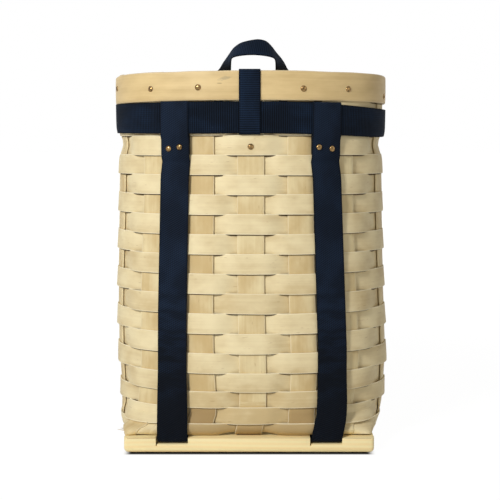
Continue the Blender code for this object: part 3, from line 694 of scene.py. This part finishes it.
def weave_offset(row, turns, run):
    """How far a weaver's middle lies outside the uprights' middle surface, and how much it arches outside an
    upright, from 0 to 1. It passes outside one upright and inside the next, half as far at the middle of a
    side, and arches in all rows but those that the board and the belt hold."""
    near = np.arange(-upright_count, 2 * upright_count + 1)
    middles = np.array([upright_turn(int(index), run) for index in near])
    size = perimeter(run)
    place = np.interp(turns, middles, near)
    index = np.rint(place).astype(int)
    away = np.abs(turns - middles[index - near[0]]) * size
    spacing = np.diff(middles)[np.floor(place).astype(int).clip(near[0], near[-2]) - near[0]]
    half = upright_width / 2
    gap = spacing * size / 2 - half
    side = np.where((row + index) % upright_count % 2 == 1, 1.0, -1.0)
    swing = np.cos(np.clip((away - half) / gap, 0, 1) * math.pi / 2)
    arch = np.clip(1 - (away / (half + gap)) ** 2, 0, 1)
    calm = np.where(index % 8 == 4, 0.5, 1.0)
    free = 0.0 if row in held_rows else 1.0
    offset = side * (wall_stand * swing + weave_arch * arch * free) * calm
    return offset, np.clip(side, 0, 1) * arch * calm * free


def make_weaver(row, low, high, material):
    """One level round of the wall. The lowest one sags at the corners, and the others swell a little."""
    turns = np.linspace(0.5, 1.5, upright_count * 18 + 1)
    overlap, widened, tilt, corner_sag = 0.0005, 0.0014, 0.0015, 0.0026
    lines, belows = [], []
    for share in np.linspace(0, 1, 5):
        run = low - overlap * (row > 0) + (high - low + widened) * share
        offsets, outside = weave_offset(row, turns, run)
        # The trait "below" places the painted shadow on the parts that tuck inside, under the weaver above
        tucked = np.clip(-offsets / wall_stand * 1.6, 0, 1)
        down = painted_shadow_start + 0.040 * (1 - tucked) + (high - run) / two_rows
        belows.append(np.where(tucked > 0, down, 0.5))
        offsets = offsets + outside * tilt * (0.5 - share)
        swell = wave(turns * 3, row * 1.7 + 3, 0.0005)
        if row == 0:
            swell = -corner_sag * (1 - share) * ease((off_front_or_back(turns) - 0.075) / 0.03)
        lines.append(wall_points(turns, run, offsets) + up * swell[:, None])
    points = np.stack(lines, axis=1)
    points[-1] = points[0]
    # Its own random tone, plus painted shade low at the front and back
    tone = 0.26 + 0.3 * (math.sin(row * 12.9898 + 4.1) * 43758.5453 % 1) + painted_foot_shade(low, turns)
    name = f"weaver_{row + 1:02d}"
    sheet = sheet_of(f"{name}_strip", points, tone, closed=True, below=np.stack(belows, axis=1))
    thicken(sheet, weaver_thick, splint_edge)
    dress(sheet, material, stands_for=(name,))


# The two uprights that each splint ends in, counted from the front middle towards +X, and the tones of some
front_to_back = ((14, 10), (15, 9), (0, 8), (1, 7), (2, 6))
side_to_side = ((3, 13), (4, 12), (5, 11))
upright_tones = {0: 0.62, 15: 1.00, 1: 0.80, 2: 0.40}
usual_tone = 0.72
floor_lift = 0.00105


def floor_place(index):
    """Where an upright comes up out of the floor."""
    return wall_points([upright_turn(index, 0.0)], 0.0, 0.0)[0]


def upright_rows(index, reverse):
    """Columns of points up one wall upright, from the floor's bend to the rim, with their traits."""
    step, end = 0.006, run_at(rim_top - 0.0006)
    runs = np.concatenate([np.linspace(0, bend_run, 9), np.arange(bend_run + step, end, step), [end]])
    columns = []
    for run in runs:
        half = upright_width / 2 / perimeter(run)
        shares = np.linspace(-1, 1, 7)
        crown = 0.0004 * (1 - shares**2)
        columns.append(wall_points(upright_turn(index, run) + shares * half, run, crown))
    lows = [low for low, _ in weaver_runs()]
    top = run_at(rim_low)
    rows = np.interp(runs, [-0.010, *lows, top, top + 0.002], [-0.4, *range(len(lows)), 18, 18.4])
    # The trait "below" places the painted shadow under each weaver's edge
    below = (1 - index % 2 - rows) / 2 + painted_shadow_start
    # Painted shade low at the front and back
    tones = np.array([painted_foot_shade(run, index / upright_count) * 1.2 for run in runs])
    order = -1 if reverse else 1
    return np.stack(columns)[::order], below[::order], tones[::order]


def make_splint(name, pair, crossed, lengthwise, sign, material):
    """One splint: down one wall, across the floor over and under the crossed ones, and up the far wall."""
    first, below_first, tone_first = upright_rows(pair[0], True)
    last, below_last, tone_last = upright_rows(pair[1], False)
    last = last[:, ::-1]
    start, finish = first[-1], last[0]
    shares = np.linspace(0, 1, 42)[1:-1]
    axis = 1 if lengthwise else 0
    places = [floor_place(other[0])[axis] for other in crossed]
    floor = []
    for share in shares:
        line = start + (finish - start) * share
        lift = 0.0
        for number, middle in enumerate(places):
            over = sign * (1 if number % 2 == 0 else -1)
            near = ease(1.35 - abs(line[3][axis] - middle) / (upright_width * 0.62))
            lift += over * floor_lift * near
        floor.append(line + up * (lift + (floor_middle - line[:, 2:3])))
    points = np.concatenate([first, np.stack(floor), last])
    tone = np.concatenate([tone_first, np.zeros(len(floor)), tone_last])
    tone += upright_tones.get(pair[0], usual_tone)
    below = np.concatenate([below_first, np.full(len(floor), 0.5), below_last])
    sheet = sheet_of(f"{name}_strip", points, tone, below=below)
    thicken(sheet, upright_thick, splint_edge)
    dress(sheet, material, stands_for=(name,))


def hoop_dip(turns):
    """How far the hoops dip towards the basket's two sides."""
    return (0.0017 - 0.0006 * np.sin(turns * full_turn)) * np.sin(turns * full_turn) ** 2


def shoulder(turns):
    """How much lower the hoops' top edge is at the very sides."""
    return 0.0024 * bell(np.abs(from_front(turns)), 0.25, 0.045)


def make_hoop(name, offset, joint, tone, material):
    """One band of the rim, whose ends almost meet at the turn of its joint."""
    joint_gap = 0.0006
    turns = np.linspace(0, 1, 321) * (1 - joint_gap) + joint_gap / 2 + joint
    lines = []
    for share in np.linspace(0, 1, 7):
        run = run_at(rim_low + (rim_top - rim_low) * share)
        crown = 0.0003 * (1 - (2 * share - 1) ** 2)
        line = wall_points(turns, run, offset + math.copysign(crown, offset))
        lift = wave(turns * 5, tone * 9, 0.0006) * share - hoop_dip(turns) - shoulder(turns) * share
        lines.append(line + up * lift[:, None])
    sheet = sheet_of(f"{name}_band", np.stack(lines, axis=1), tone)
    thicken(sheet, hoop_thick, 0.0018, 4)
    dress(sheet, material, stands_for=(name,))


# Webbing

web_edge = 0.0005


def spread(columns, lengths, marks):
    """Columns of numbers along a line, read again at other marks along it."""
    return np.stack([np.interp(marks, lengths, column) for column in columns.T], axis=1)


def soften(line, rounds):
    """Each inner point drawn towards its neighbours, a number of times."""
    for _ in range(rounds):
        line[1:-1] = (line[:-2] + 2 * line[1:-1] + line[2:]) / 4
    return line


def even_path(path):
    """A strap's (middle, across) pairs, drawn again as a soft line with close points only where it bends."""
    step, longest, sharpest = 0.001, 0.007, math.cos(math.radians(7))
    middles = np.array([middle for middle, _ in path], float)
    acrosses = np.array([across for _, across in path], float)
    lengths = path_lengths(middles)
    marks = np.linspace(0, lengths[-1], int(lengths[-1] / step) + 2)
    middles = soften(spread(middles, lengths, marks), 3)
    acrosses = soften(spread(acrosses, lengths, marks), 3)
    along = np.gradient(middles, axis=0)
    along /= np.linalg.norm(along, axis=1)[:, None]
    kept = [0]
    for number in range(1, len(marks) - 1):
        turned = along[number] @ along[kept[-1]] < sharpest
        if turned or marks[number] - marks[kept[-1]] > longest:
            kept.append(number)
    kept.append(len(marks) - 1)
    acrosses = acrosses - along * (acrosses * along).sum(axis=1)[:, None]
    acrosses /= np.linalg.norm(acrosses, axis=1)[:, None]
    return middles[kept], acrosses[kept], marks[kept]


def web(name, path, width, tones, material, stands_for):
    """A strap. Its tones are what it has at the foot of the wall, and further up."""
    middles, acrosses, marks = even_path(path)
    tone = tones[0] + (tones[1] - tones[0]) * ease((middles[:, 2] - 0.06) / 0.16)
    shares = np.linspace(-1, 1, 5)
    points = middles[:, None] + acrosses[:, None] * (shares * width / 2)[None, :, None]
    sheet = thicken(sheet_of(name, points, tone, marks), web_thick, web_edge)
    dress(sheet, material, stands_for=(stands_for,))


def arc(middle, start, finish, radius, away, forward, steps=8):
    """Points round a middle from one angle to another, where 0 is away from it and a quarter turn forward."""
    angles = np.linspace(start, finish, steps + 1)
    return [middle + (away * math.cos(a) + forward * math.sin(a)) * radius for a in angles]


def fold(level, above, start, finish):
    """Levels and offsets of a strap folded over an edge, or under it, from one offset to another."""
    down = 0.0006 if above else -0.0006
    aside = math.copysign(0.0006, finish - start)
    return [(level - down, start), (level, start + aside), (level, finish - aside), (level - down, finish)]


def belt_lowered(turn):
    """How far the belt sags below its place at the front and back: more on the right side."""
    return (0.00425 + 0.00325 * np.sin(turn * full_turn)) * np.sin(turn * full_turn) ** 2


def handle_turn(side):
    """The turn at which a leg of the handle passes over the rim."""
    x = handle_hinge[0] + side * handle_reach
    reach = abs(x)
    for _ in range(4):
        turn = 0.5 - turn_at_side(reach, rim_top)
        point, _ = wall_frame(turn, rim_top, hoop_face + 0.0012)
        reach += abs(x) - point[0]
    return turn if x > 0 else 1 - turn


# Heights, and how far to +X the middle of each front strap lies there: the right one bows outwards
strap_sides = {
    -1: ((0.0, -0.0990), (0.10, -0.0992), (0.18, -0.0990), (0.384, -0.0957), (0.5, -0.0957)),
    1: (
        (0.0, 0.0975), (0.02, 0.0983), (0.045, 0.1034), (0.06, 0.1046), (0.13, 0.1050),
        (0.18, 0.1036), (0.30, 0.1000), (0.384, 0.0974), (0.5, 0.0970),
    ),
}


def side_of(side, height):
    """How far to +X the middle of a front strap lies at a height."""
    heights, places = zip(*strap_sides[side])
    return float(np.interp(height, heights, places))


def front_turn(side):
    """The turn at which a front strap passes over the belt."""
    return turn_at_side(side_of(side, 0.40), belt_low, loop_second)


def back_turn(side):
    """The turn at which a shoulder strap passes over the belt."""
    return 0.5 - side * turn_at_side(strap_centre, belt_low)


def riders():
    """Turn and width of every strap that the belt crosses, and the belt's offset there."""
    crossed = [(centre_turn, centre_strap_width, web_second)]
    for side in (-1, 1):
        crossed.append((front_turn(side), strap_width, loop_second))
        crossed.append((back_turn(side), strap_width, loop_second))
    return crossed + [(handle_turn(side), handle_width, web_second) for side in (-1, 1)]


def belt_drop(turns, share):
    """How far a line of the belt lies under its level place. Its share is 0 at the lower edge and 1 above."""
    turned = from_front(turns)
    round_side = np.sin(turns * full_turn)
    right = 0.0030 * bell(turned, 0.19, 0.07) * (1 - share * 0.4)
    narrowed = (-0.0007 - 0.0008 * round_side) * share - (0.0045 + 0.0023 * round_side) * (1 - share)
    front = 0.0009 * share * ease((np.where(turned < 0, 0.30, 0.10) - np.abs(turned)) / 0.04)
    return belt_lowered(turns) + right + narrowed * round_side**4 - front


def make_belt(material):
    """The belt follows the wall, and lies flat and further out where it crosses a strap."""
    size = perimeter(run_at(belt_high))
    turns = np.linspace(0, 1, 385)
    lines = []
    for share in np.linspace(0, 1, 7):
        height = belt_low + (belt_high - belt_low) * share
        offsets = web_first + 0.0021 * np.minimum(1.0, np.abs(np.cos(turns * full_turn)) * 3.2)
        line = wall_points(turns, run_at(height), offsets)
        for middle, width, offset in riders():
            point, along = wall_frame(middle, height, offset)
            aside = from_front(turns - middle) * size
            hold = ease(1 - (np.abs(aside) - width / 2 - 0.001) / 0.015)[:, None]
            line = line * (1 - hold) + (point + along * aside[:, None]) * hold
        line[:, 2] -= belt_drop(turns, share)
        lines.append(line)
    points = np.stack(lines, axis=1)
    points[-1] = points[0]
    sheet = thicken(sheet_of("belt_web", points, 0.5, closed=True), web_thick, web_edge)
    dress(sheet, material, stands_for=("belt",))


def loop_and_fall(turn):
    """A strap's path from its hidden end up behind the belt, over it, and down past the rivets."""
    high = belt_high - belt_lowered(turn) + 0.0012
    low = belt_low - belt_lowered(turn) - 0.0021
    end = belt_low - 0.0270
    levels = [(end, loop_first)] + fold(high, True, loop_first, loop_third)
    levels += [(low, loop_third), (low - 0.0042, loop_second)]
    levels += [(end - 0.0021, loop_second), (end - 0.0084, web_first)]
    return [wall_frame(turn, height, offset) for height, offset in levels]


def settle(across, share):
    """A strap's direction across, turned towards +X by a share."""
    mixed = across + (sideways - across) * float(ease(share))
    return mixed / np.linalg.norm(mixed)


# The right strap at the back: where it comes out from under the board, its slope, and its ring
foot = np.array((strap_centre, 0.1326, 0.0168))
rise = np.array(joints["right_buckle_slide"]["axis"])
outward = np.cross(rise, sideways)
ring_height = 0.205
lower_length = (ring_height - foot[2]) / rise[2]
wrap = 0.0032
ring_half_wide, ring_half_high = 0.0225, 0.0095
ring_middle = foot + rise * (lower_length + ring_half_high) + outward * wrap

# Below this height the front straps leave the wall and run taut to the board: heights and depths
taut_top = 0.104
taut_run = (
    (0.092, -0.1314), (0.080, -0.1322), (0.068, -0.1330), (0.056, -0.1337),
    (0.045, -0.1344), (0.034, -0.1349), (0.027, -0.1347), (0.0205, -0.1338),
)


def main_strap_path(side):
    """Over the belt, down the front, under the board in a groove, up at the back, round the ring and down."""
    mirror = np.array((side, 1, 1))
    path = [(point, settle(across, 0.12)) for point, across in loop_and_fall(front_turn(side))]
    off_wall = web_first + 0.0022
    for height in np.linspace(0.350, taut_top, 38):
        turn = turn_at_side(side_of(side, height), height, off_wall)
        point, across = wall_frame(turn, height, off_wall)
        path.append((point, settle(across, 0.24)))
    for height, depth in taut_run:
        share = 0.24 + 0.66 * (taut_top - height) / (taut_top - taut_run[-1][0])
        path.append((np.array((side_of(side, height), depth, height)), settle(across, share)))
    turn_under = 0.0030
    around = np.array((side_of(side, 0.0), -0.1296, foot[2]))
    path += [(point, sideways) for point in arc(around, 0, math.pi / 2, turn_under, -ahead, -up)]
    lean = math.acos(rise @ up)
    around = foot * mirror - ahead * turn_under
    path += [(point, sideways) for point in arc(around, 0, math.pi / 2 - lean, turn_under, -up, ahead)]
    bar = foot * mirror + rise * lower_length + outward * wrap
    path += [(point, sideways) for point in arc(bar, 0, math.pi, wrap, -outward, rise, 14)]
    for down in (0.022, 0.0625, 0.125):
        path.append((foot * mirror + rise * (lower_length - down) + outward * 0.0021, sideways))
    return path


def shoulder_strap_path(side):
    """Over the belt at the back, out to the ring in one soft curve, and round it back up."""
    path = [(point, -across) for point, across in loop_and_fall(back_turn(side))]
    start, across = path[-1]
    bar = ring_middle * np.array((side, 1, 1)) + rise * ring_half_high
    meet = bar + outward * wrap
    finish = meet + rise * 0.028
    first = start - up * 0.075
    second = finish + rise * 0.070
    for share in np.linspace(0, 1, 40)[1:]:
        rest = 1 - share
        point = start * rest**3 + first * (3 * rest * rest * share)
        point = point + second * (3 * rest * share * share) + finish * share**3
        path.append((point, settle(across, share * 2)))
    path.append((meet, sideways))
    path += [(point, sideways) for point in arc(bar, 0, -math.pi, wrap, outward, rise, 14)[1:]]
    path.append((bar - outward * wrap + rise * 0.0056, sideways))
    path.append((finish - outward * 0.0021 - rise * 0.0021, sideways))
    return path


def centre_strap_path():
    """From the rivet inside the wall, over the rim, down the front, and under the belt."""
    face = hoop_face + 0.0012
    levels = [(0.374, -web_first), (rim_low - 0.0042, -web_first), (rim_low - 0.0003, -face - 0.0006)]
    levels += fold(rim_top + 0.0012, True, -face - 0.0006, face)
    levels += [(rim_low + web_thick, face), (belt_high + 0.0003, web_third)]
    levels += fold(belt_low - 0.0004, False, web_third, web_first)
    levels.append((belt_low + 0.026, web_first))
    return [wall_frame(centre_turn, height, offset) for height, offset in levels]


# The handle's front edge, then its rear edge, as they show above the rim, in millimetres: X, Y, Z, X, Y, Z
handle_edges = (
    (-27.5, 140.0, 490.0, -64.5, 140.0, 491.0),
    (-28.4, 131.0, 495.0, -56.0, 147.0, 497.5),
    (-28.6, 119.0, 503.0, -45.8, 149.0, 504.9),
    (-28.4, 110.0, 509.0, -41.5, 145.0, 513.2),
    (-28.3, 104.0, 514.9, -33.1, 139.5, 524.1),
    (-27.2, 99.0, 519.4, -24.7, 133.0, 536.4),
    (-18.3, 95.5, 521.7, -14.2, 126.5, 543.4),
    (-5.9, 93.0, 523.0, -1.5, 120.5, 546.3),
    (7.3, 92.0, 523.2, 11.9, 117.0, 548.2),
    (20.5, 92.8, 522.1, 23.8, 118.5, 546.1),
    (31.5, 95.0, 520.2, 32.0, 123.0, 538.2),
    (36.8, 99.0, 518.3, 38.6, 129.0, 529.4),
    (38.1, 104.5, 513.5, 46.6, 137.5, 521.4),
    (38.2, 112.0, 507.3, 52.8, 145.0, 512.9),
    (38.4, 119.0, 501.8, 56.7, 149.0, 504.1),
    (37.8, 131.0, 495.0, 66.0, 147.0, 497.5),
    (35.5, 140.0, 490.0, 72.5, 139.0, 491.0),
)


def tab_path(side):
    """The fixed end of a handle leg, from the hinge line down the hoop and round the belt's lower edge."""
    turn = handle_turn(side)
    face = hoop_face + 0.0012
    low = belt_low - belt_lowered(turn)
    levels = [(rim_top + 0.0008, face), (rim_low + web_thick, face)]
    levels.append((belt_high - belt_lowered(turn) + 0.0003, web_third))
    levels += fold(low - 0.0012, False, web_third, web_first)
    levels.append((low + 0.026, web_first))
    return [wall_frame(turn, height, offset) for height, offset in levels]


def make_handle(material):
    """Both tabs and the loop between them as one length of webbing."""
    half = handle_width / 2
    loop = np.array(handle_edges) / 1000
    left = [(point - across * half, point + across * half) for point, across in tab_path(-1)[::-1]]
    right = [(point + across * half, point - across * half) for point, across in tab_path(1)]
    edges = np.array(left + [(row[:3], row[3:]) for row in loop] + right)
    lengths = path_lengths(edges.mean(axis=1))
    marks = np.linspace(0, lengths[-1], 260)
    flat = soften(spread(edges.reshape(len(edges), 6), lengths, marks), 9)
    shares = np.linspace(0, 1, 7)[None, :, None]
    points = flat[:, None, :3] * (1 - shares) + flat[:, None, 3:] * shares
    height = flat[:, 5]
    # Painted shade: the legs, and the tabs below the rim's top, are darker
    leg = ease((0.524 - height) / 0.022) * ease((height - 0.474) / 0.014)
    tone = 0.9 - 1.5 * leg - 0.4 * (height < 0.490)
    sheet = thicken(sheet_of("handle_web", points, tone, marks), web_thick, web_edge)
    dress(sheet, material, None, ("handle", "handle_tab_left", "handle_tab_right"))
    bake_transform(sheet)


# Hardware

def turned_mesh(profile, sides=20):
    """A turned shape on +Z: a disc extruded and resized along (height, radius) pairs from the low end up."""
    height, radius = profile[0]
    low = (0, 0, height)
    bpy.ops.mesh.primitive_circle_add(vertices=sides, radius=radius, fill_type="NGON", location=low)
    shape = bpy.context.object
    bpy.ops.object.transform_apply(location=True)
    bpy.ops.object.mode_set(mode="EDIT")
    bpy.ops.mesh.select_all(action="SELECT")
    for next_height, next_radius in profile[1:]:
        bpy.ops.mesh.extrude_region_move(TRANSFORM_OT_translate={"value": (0, 0, next_height - height)})
        share = next_radius / radius
        bpy.ops.transform.resize(value=(share, share, 1), center_override=(0, 0, next_height))
        height, radius = next_height, next_radius
    bpy.ops.object.mode_set(mode="OBJECT")
    face_outwards()
    smooth(shape, 50)
    mesh = shape.data
    bpy.data.objects.remove(shape)
    return mesh


def set_copy(name, mesh, place, axis, material, stands_for=()):
    """A copy of a modelled mesh, set at a place with its +Z along an axis."""
    copy = mesh.copy()
    copy.name = name
    turn = Vector(axis).to_track_quat("Z", "Y").to_matrix().to_4x4()
    copy.transform(Matrix.Translation(Vector(place)) @ turn)
    piece = bpy.data.objects.new(name, copy)
    bpy.context.scene.collection.objects.link(piece)
    dress(piece, material, stands_for=stands_for)


# The head of a rivet and the whole of a nail, as heights and radii from the face that they sit on
rivet_head = (
    (0.0003, 0.0038), (0.0008, 0.00395), (0.0014, 0.0036),
    (0.0019, 0.0029), (0.0023, 0.0019), (0.00245, 0.0008),
)
shank_radius = 0.0014
nail_profile = (
    (-0.012, 0.0005), (-0.009, shank_radius), (0.0, shank_radius), (0.0003, 0.0036),
    (0.0008, 0.0036), (0.0013, 0.0026), (0.0016, 0.001),
)


def rivet_profile(grip):
    """A tinner's rivet: clinched end inside, shank, and a low domed head."""
    end = -grip - 0.0003
    clinch = ((end - 0.0009, 0.0012), (end - 0.0007, 0.0022), (end, 0.0027))
    return clinch + ((end + 0.0001, shank_radius), (0.0002, shank_radius)) + rivet_head


def chord_place(index, height, offset):
    """Middle of an upright's face at a height, offset outwards, and its outward normal."""
    run = run_at(height)
    half = upright_width / 2 / perimeter(run)
    turn = upright_turn(index, run)
    left, right = wall_points([turn - half, turn + half], run, offset)
    along = (right - left) / np.linalg.norm(right - left)
    return (left + right) / 2, np.cross(along, up)


# The uprights that the rim is riveted to, the CAD nodes of the front ones, and by how much some rivets lie
# aside, towards +X at the front, and higher
riveted = (1, 2, 3, 5, 6, 8, 10, 11, 13, 14, 15)
rim_nodes = {14: "rim_rivet_1", 15: "rim_rivet_2", 1: "rim_rivet_3", 2: "rim_rivet_4"}
rim_moves = {
    1: (0.0022, 0.0004), 2: (0.0035, 0.0), 3: (-0.0038, -0.006),
    13: (0.0046, 0.005), 14: (0.0006, 0.0017), 15: (-0.0019, 0.0015),
}


def make_rim_rivets(material):
    """Rivets through both hoops, each at an upright's middle or a little aside from it."""
    rivet = turned_mesh(rivet_profile(2 * hoop_face))
    for index in riveted:
        aside, higher = rim_moves.get(index, (0.0, 0.0))
        uneven = 0.0 if index == 3 else 0.0006 * math.sin(index * 2.3)
        height = (rim_low + rim_top) / 2 - 0.0036 - uneven + higher
        height -= float(hoop_dip(upright_turn(index, run_at(rim_low))))
        stand = 0.0009 if index in (3, 5, 11, 13) else 0.0006
        place, normal = chord_place(index, height, hoop_face + stand)
        place = place + np.cross(up, normal) * aside
        stands_for = (rim_nodes[index],) if index in rim_nodes else ()
        set_copy(f"rim_tack_{index}", rivet, place, normal, material, stands_for)


def make_strap_rivets(material):
    """Two rivets under the belt in each front strap, a little askew, and two in each shoulder strap."""
    rivet = turned_mesh(rivet_profile(0.0039))
    face = loop_second + web_thick / 2
    apart, right_apart = 0.0152, 0.0180
    for side, word in sides:
        point, along = wall_frame(front_turn(side), belt_low - 0.0184, face)
        askew = along * (side * (right_apart if side > 0 else apart) / 2) - up * 0.0010
        rows = [("front", point - along * 0.0012, along, askew)]
        point, along = wall_frame(back_turn(side), belt_low - 0.0155, face)
        rows.append(("back", point, along, along * (apart / 2)))
        for where, point, along, half_apart in rows:
            for number, way in ((1, -1), (2, 1)):
                name = f"{where}_rivet_{word}_{number}"
                spot = point + half_apart * way
                set_copy(f"{name}_tack", rivet, spot, np.cross(along, up), material, (name,))


def make_centre_rivet(material):
    """The rivet under the belt that holds the centre strap's end inside the wall."""
    rivet = turned_mesh(rivet_profile(0.0081))
    place, normal = chord_place(0, belt_low - 0.0169, 0.0042)
    set_copy("centre_tack", rivet, place, normal, material, ("centre_rivet",))


def make_nails(material):
    """Nails through the floor into the board, where splints cross."""
    nail = turned_mesh(nail_profile)
    crossings = [(lengthwise, crosswise) for lengthwise in (1, 15) for crosswise in (3, 5)]
    for number, (lengthwise, crosswise) in enumerate(crossings, 1):
        place = (floor_place(lengthwise)[0], floor_place(crosswise)[1], floor_middle + 0.0023)
        set_copy(f"floor_nail_{number}", nail, place, up, material, (f"base_nail_{number}",))


def make_board(material):
    """The pine board: rounded corners and underside ends, a groove for each strap, and a saw's overcut."""
    board = box((board_aside, 0, board_thick / 2), (board_width, board_depth, board_thick))
    board.name = board.data.name = "pine_board"
    bpy.ops.object.mode_set(mode="EDIT")
    bpy.ops.mesh.select_mode(type="EDGE")
    for low_end, width in ((False, 0.0050), (True, 0.0058)):
        bpy.ops.mesh.select_all(action="DESELECT")
        bpy.ops.object.mode_set(mode="OBJECT")
        for edge in board.data.edges:
            ends = [board.data.vertices[number].co for number in edge.vertices]
            if low_end:
                edge.select = max(e.z for e in ends) < 0.001 and min(abs(e.x) for e in ends) > 0.150
            else:
                edge.select = abs(ends[0].z - ends[1].z) > 0.01
        bpy.ops.object.mode_set(mode="EDIT")
        bpy.ops.mesh.bevel(offset=width, segments=6, profile=0.5)
    bpy.ops.object.mode_set(mode="OBJECT")
    cutters = []
    for side, _ in sides:
        middle = side_of(side, 0.0)
        groove, overcut = (middle, 0.0400, 0.0108), (middle - 0.0202, 0.0016, 0.0085)
        for x, width, low in (groove, overcut):
            cutter = box((x, 0, low + 0.01), (width, 0.30, 0.02))
            cut = board.modifiers.new("groove", "BOOLEAN")
            cut.operation = "DIFFERENCE"
            cut.solver = "EXACT"
            cut.object = cutter
            cutters.append(cutter)
    round_edges(board, 0.0005, 2)
    for cutter in cutters:
        bpy.data.objects.remove(cutter)
    smooth(board, 35)
    dress(board, material, stands_for=("base_board",))


def make_ring(side, word, material):
    """A rectangular wire ring, from a bevelled line round its four corners."""
    corner, wire_radius = 0.0035, 0.0020
    aside, higher = sideways * (ring_half_wide - corner), rise * (ring_half_high - corner)
    points = []
    for number, (x, z) in enumerate(((1, 1), (-1, 1), (-1, -1), (1, -1))):
        middle = ring_middle + aside * x + higher * z
        points += arc(middle, number * math.pi / 2, (number + 1) * math.pi / 2, corner, sideways, rise)
    curve = bpy.data.curves.new(f"wire_ring_{word}", "CURVE")
    curve.dimensions = "3D"
    curve.bevel_depth = wire_radius
    curve.bevel_resolution = 5
    line = curve.splines.new("POLY")
    line.points.add(len(points) - 1)
    for slot, point in zip(line.points, points):
        slot.co = (point[0] * side, point[1], point[2], 1)
    line.use_cyclic_u = True
    ring = bpy.data.objects.new(f"wire_ring_{word}", curve)
    bpy.context.scene.collection.objects.link(ring)
    bpy.context.view_layer.objects.active = ring
    ring.select_set(True)
    bpy.ops.object.convert(target="MESH")
    ring = bpy.context.object
    bpy.ops.object.shade_smooth()
    dress(ring, material, stands_for=(f"strap_ring_{word}",))


def make_slide(side, word, material, below_ring=0.060):
    """A sliding buckle: rails at both sides, two bars in front of the straps and one behind."""
    back, front, bar_thick, inset = -0.0033, 0.0054, 0.0015, 0.0003
    deep, middle = front - back, (front + back) / 2
    front_bar, rear_bar = front - inset - bar_thick / 2, back + inset + bar_thick / 2
    rails = [box((way * 0.0208, 0, middle), (0.0040, 0.030, deep)) for way in (1, -1)]
    bars = [(0.0122, front_bar), (-0.0122, front_bar), (0.0, rear_bar)]
    parts = rails + [box((0, along, level), (0.0410, 0.0050, bar_thick)) for along, level in bars]
    place = Matrix((Vector(sideways), Vector(rise), Vector(outward))).transposed().to_4x4()
    place.translation = Vector(foot + rise * (lower_length - below_ring))
    place = Matrix.Diagonal((side, 1, 1, 1)) @ place
    for part in parts:
        part.select_set(True)
    bpy.context.view_layer.objects.active = parts[0]
    bpy.ops.object.join()
    slide = bpy.context.object
    slide.name = slide.data.name = f"slide_{word}"
    round_edges(slide, 0.0006, 3)
    slide.data.transform(place)
    face_outwards()
    smooth(slide, 40)
    dress(slide, material, f"{word}_slide", (f"sliding_buckle_{word}",))


def make_floor():
    """A wide plain floor right under the board. It belongs to the stage."""
    bpy.ops.mesh.primitive_plane_add(size=80, location=(0, 0, -0.0002))
    floor = bpy.context.object
    floor.name = "floor"
    floor.data.materials.append(floor_finish("white_floor"))
    bpy.ops.object.select_all(action="DESELECT")


splint_wood = splint_finish("ash_splint", srgb(246, 230, 186), srgb(212, 188, 139), 0.8)
upright_wood = splint_finish("ash_upright", srgb(244, 228, 182), srgb(212, 185, 132), 0.5)
rim_wood = rim_finish("rim_band")
board_wood = board_finish("pine")
navy = webbing_finish("navy_web", srgb(29, 46, 70), srgb(5, 8, 13), 0)
navy_twill = webbing_finish("navy_twill", srgb(32, 46, 67), srgb(7, 10, 16), 1300)
brass = metal_finish("brass_tack", (0.34, 0.215, 0.090, 1), (0.060, 0.032, 0.012, 1), 0.14)
steel = metal_finish("plated_wire", (0.72, 0.62, 0.40, 1), (0.50, 0.41, 0.25, 1), 0.22)

make_floor()
make_board(board_wood)
for row, (low, high) in enumerate(weaver_runs()):
    make_weaver(row, low, high, splint_wood)
for number, pair in enumerate(front_to_back, 1):
    make_splint(f"long_splint_{number}", pair, side_to_side, True, -1 if number % 2 else 1, upright_wood)
for number, pair in enumerate(side_to_side, 1):
    make_splint(f"cross_splint_{number}", pair, front_to_back, False, 1 if number % 2 else -1, upright_wood)
make_hoop("outer_hoop", hoop_offset, 0.0, 0.31, rim_wood)
make_hoop("inner_hoop", -hoop_offset, 0.5, 0.77, rim_wood)
make_belt(navy)
web("centre_web", centre_strap_path(), centre_strap_width, (0.8, 0.8), navy, "centre_strap")
for side, word in sides:
    # Painted shade: the front straps darken towards the foot
    web(f"main_web_{word}", main_strap_path(side), strap_width, (0.1, 0.8), navy_twill, f"main_strap_{word}")
    tone = 0.8 + side * 0.1
    path = shoulder_strap_path(side)
    web(f"shoulder_web_{word}", path, strap_width, (tone, tone), navy, f"shoulder_strap_{word}")
    make_ring(side, word, steel)
    make_slide(side, word, steel)
make_handle(navy)
make_rim_rivets(brass)
make_strap_rivets(brass)
make_centre_rivet(brass)
make_nails(brass)
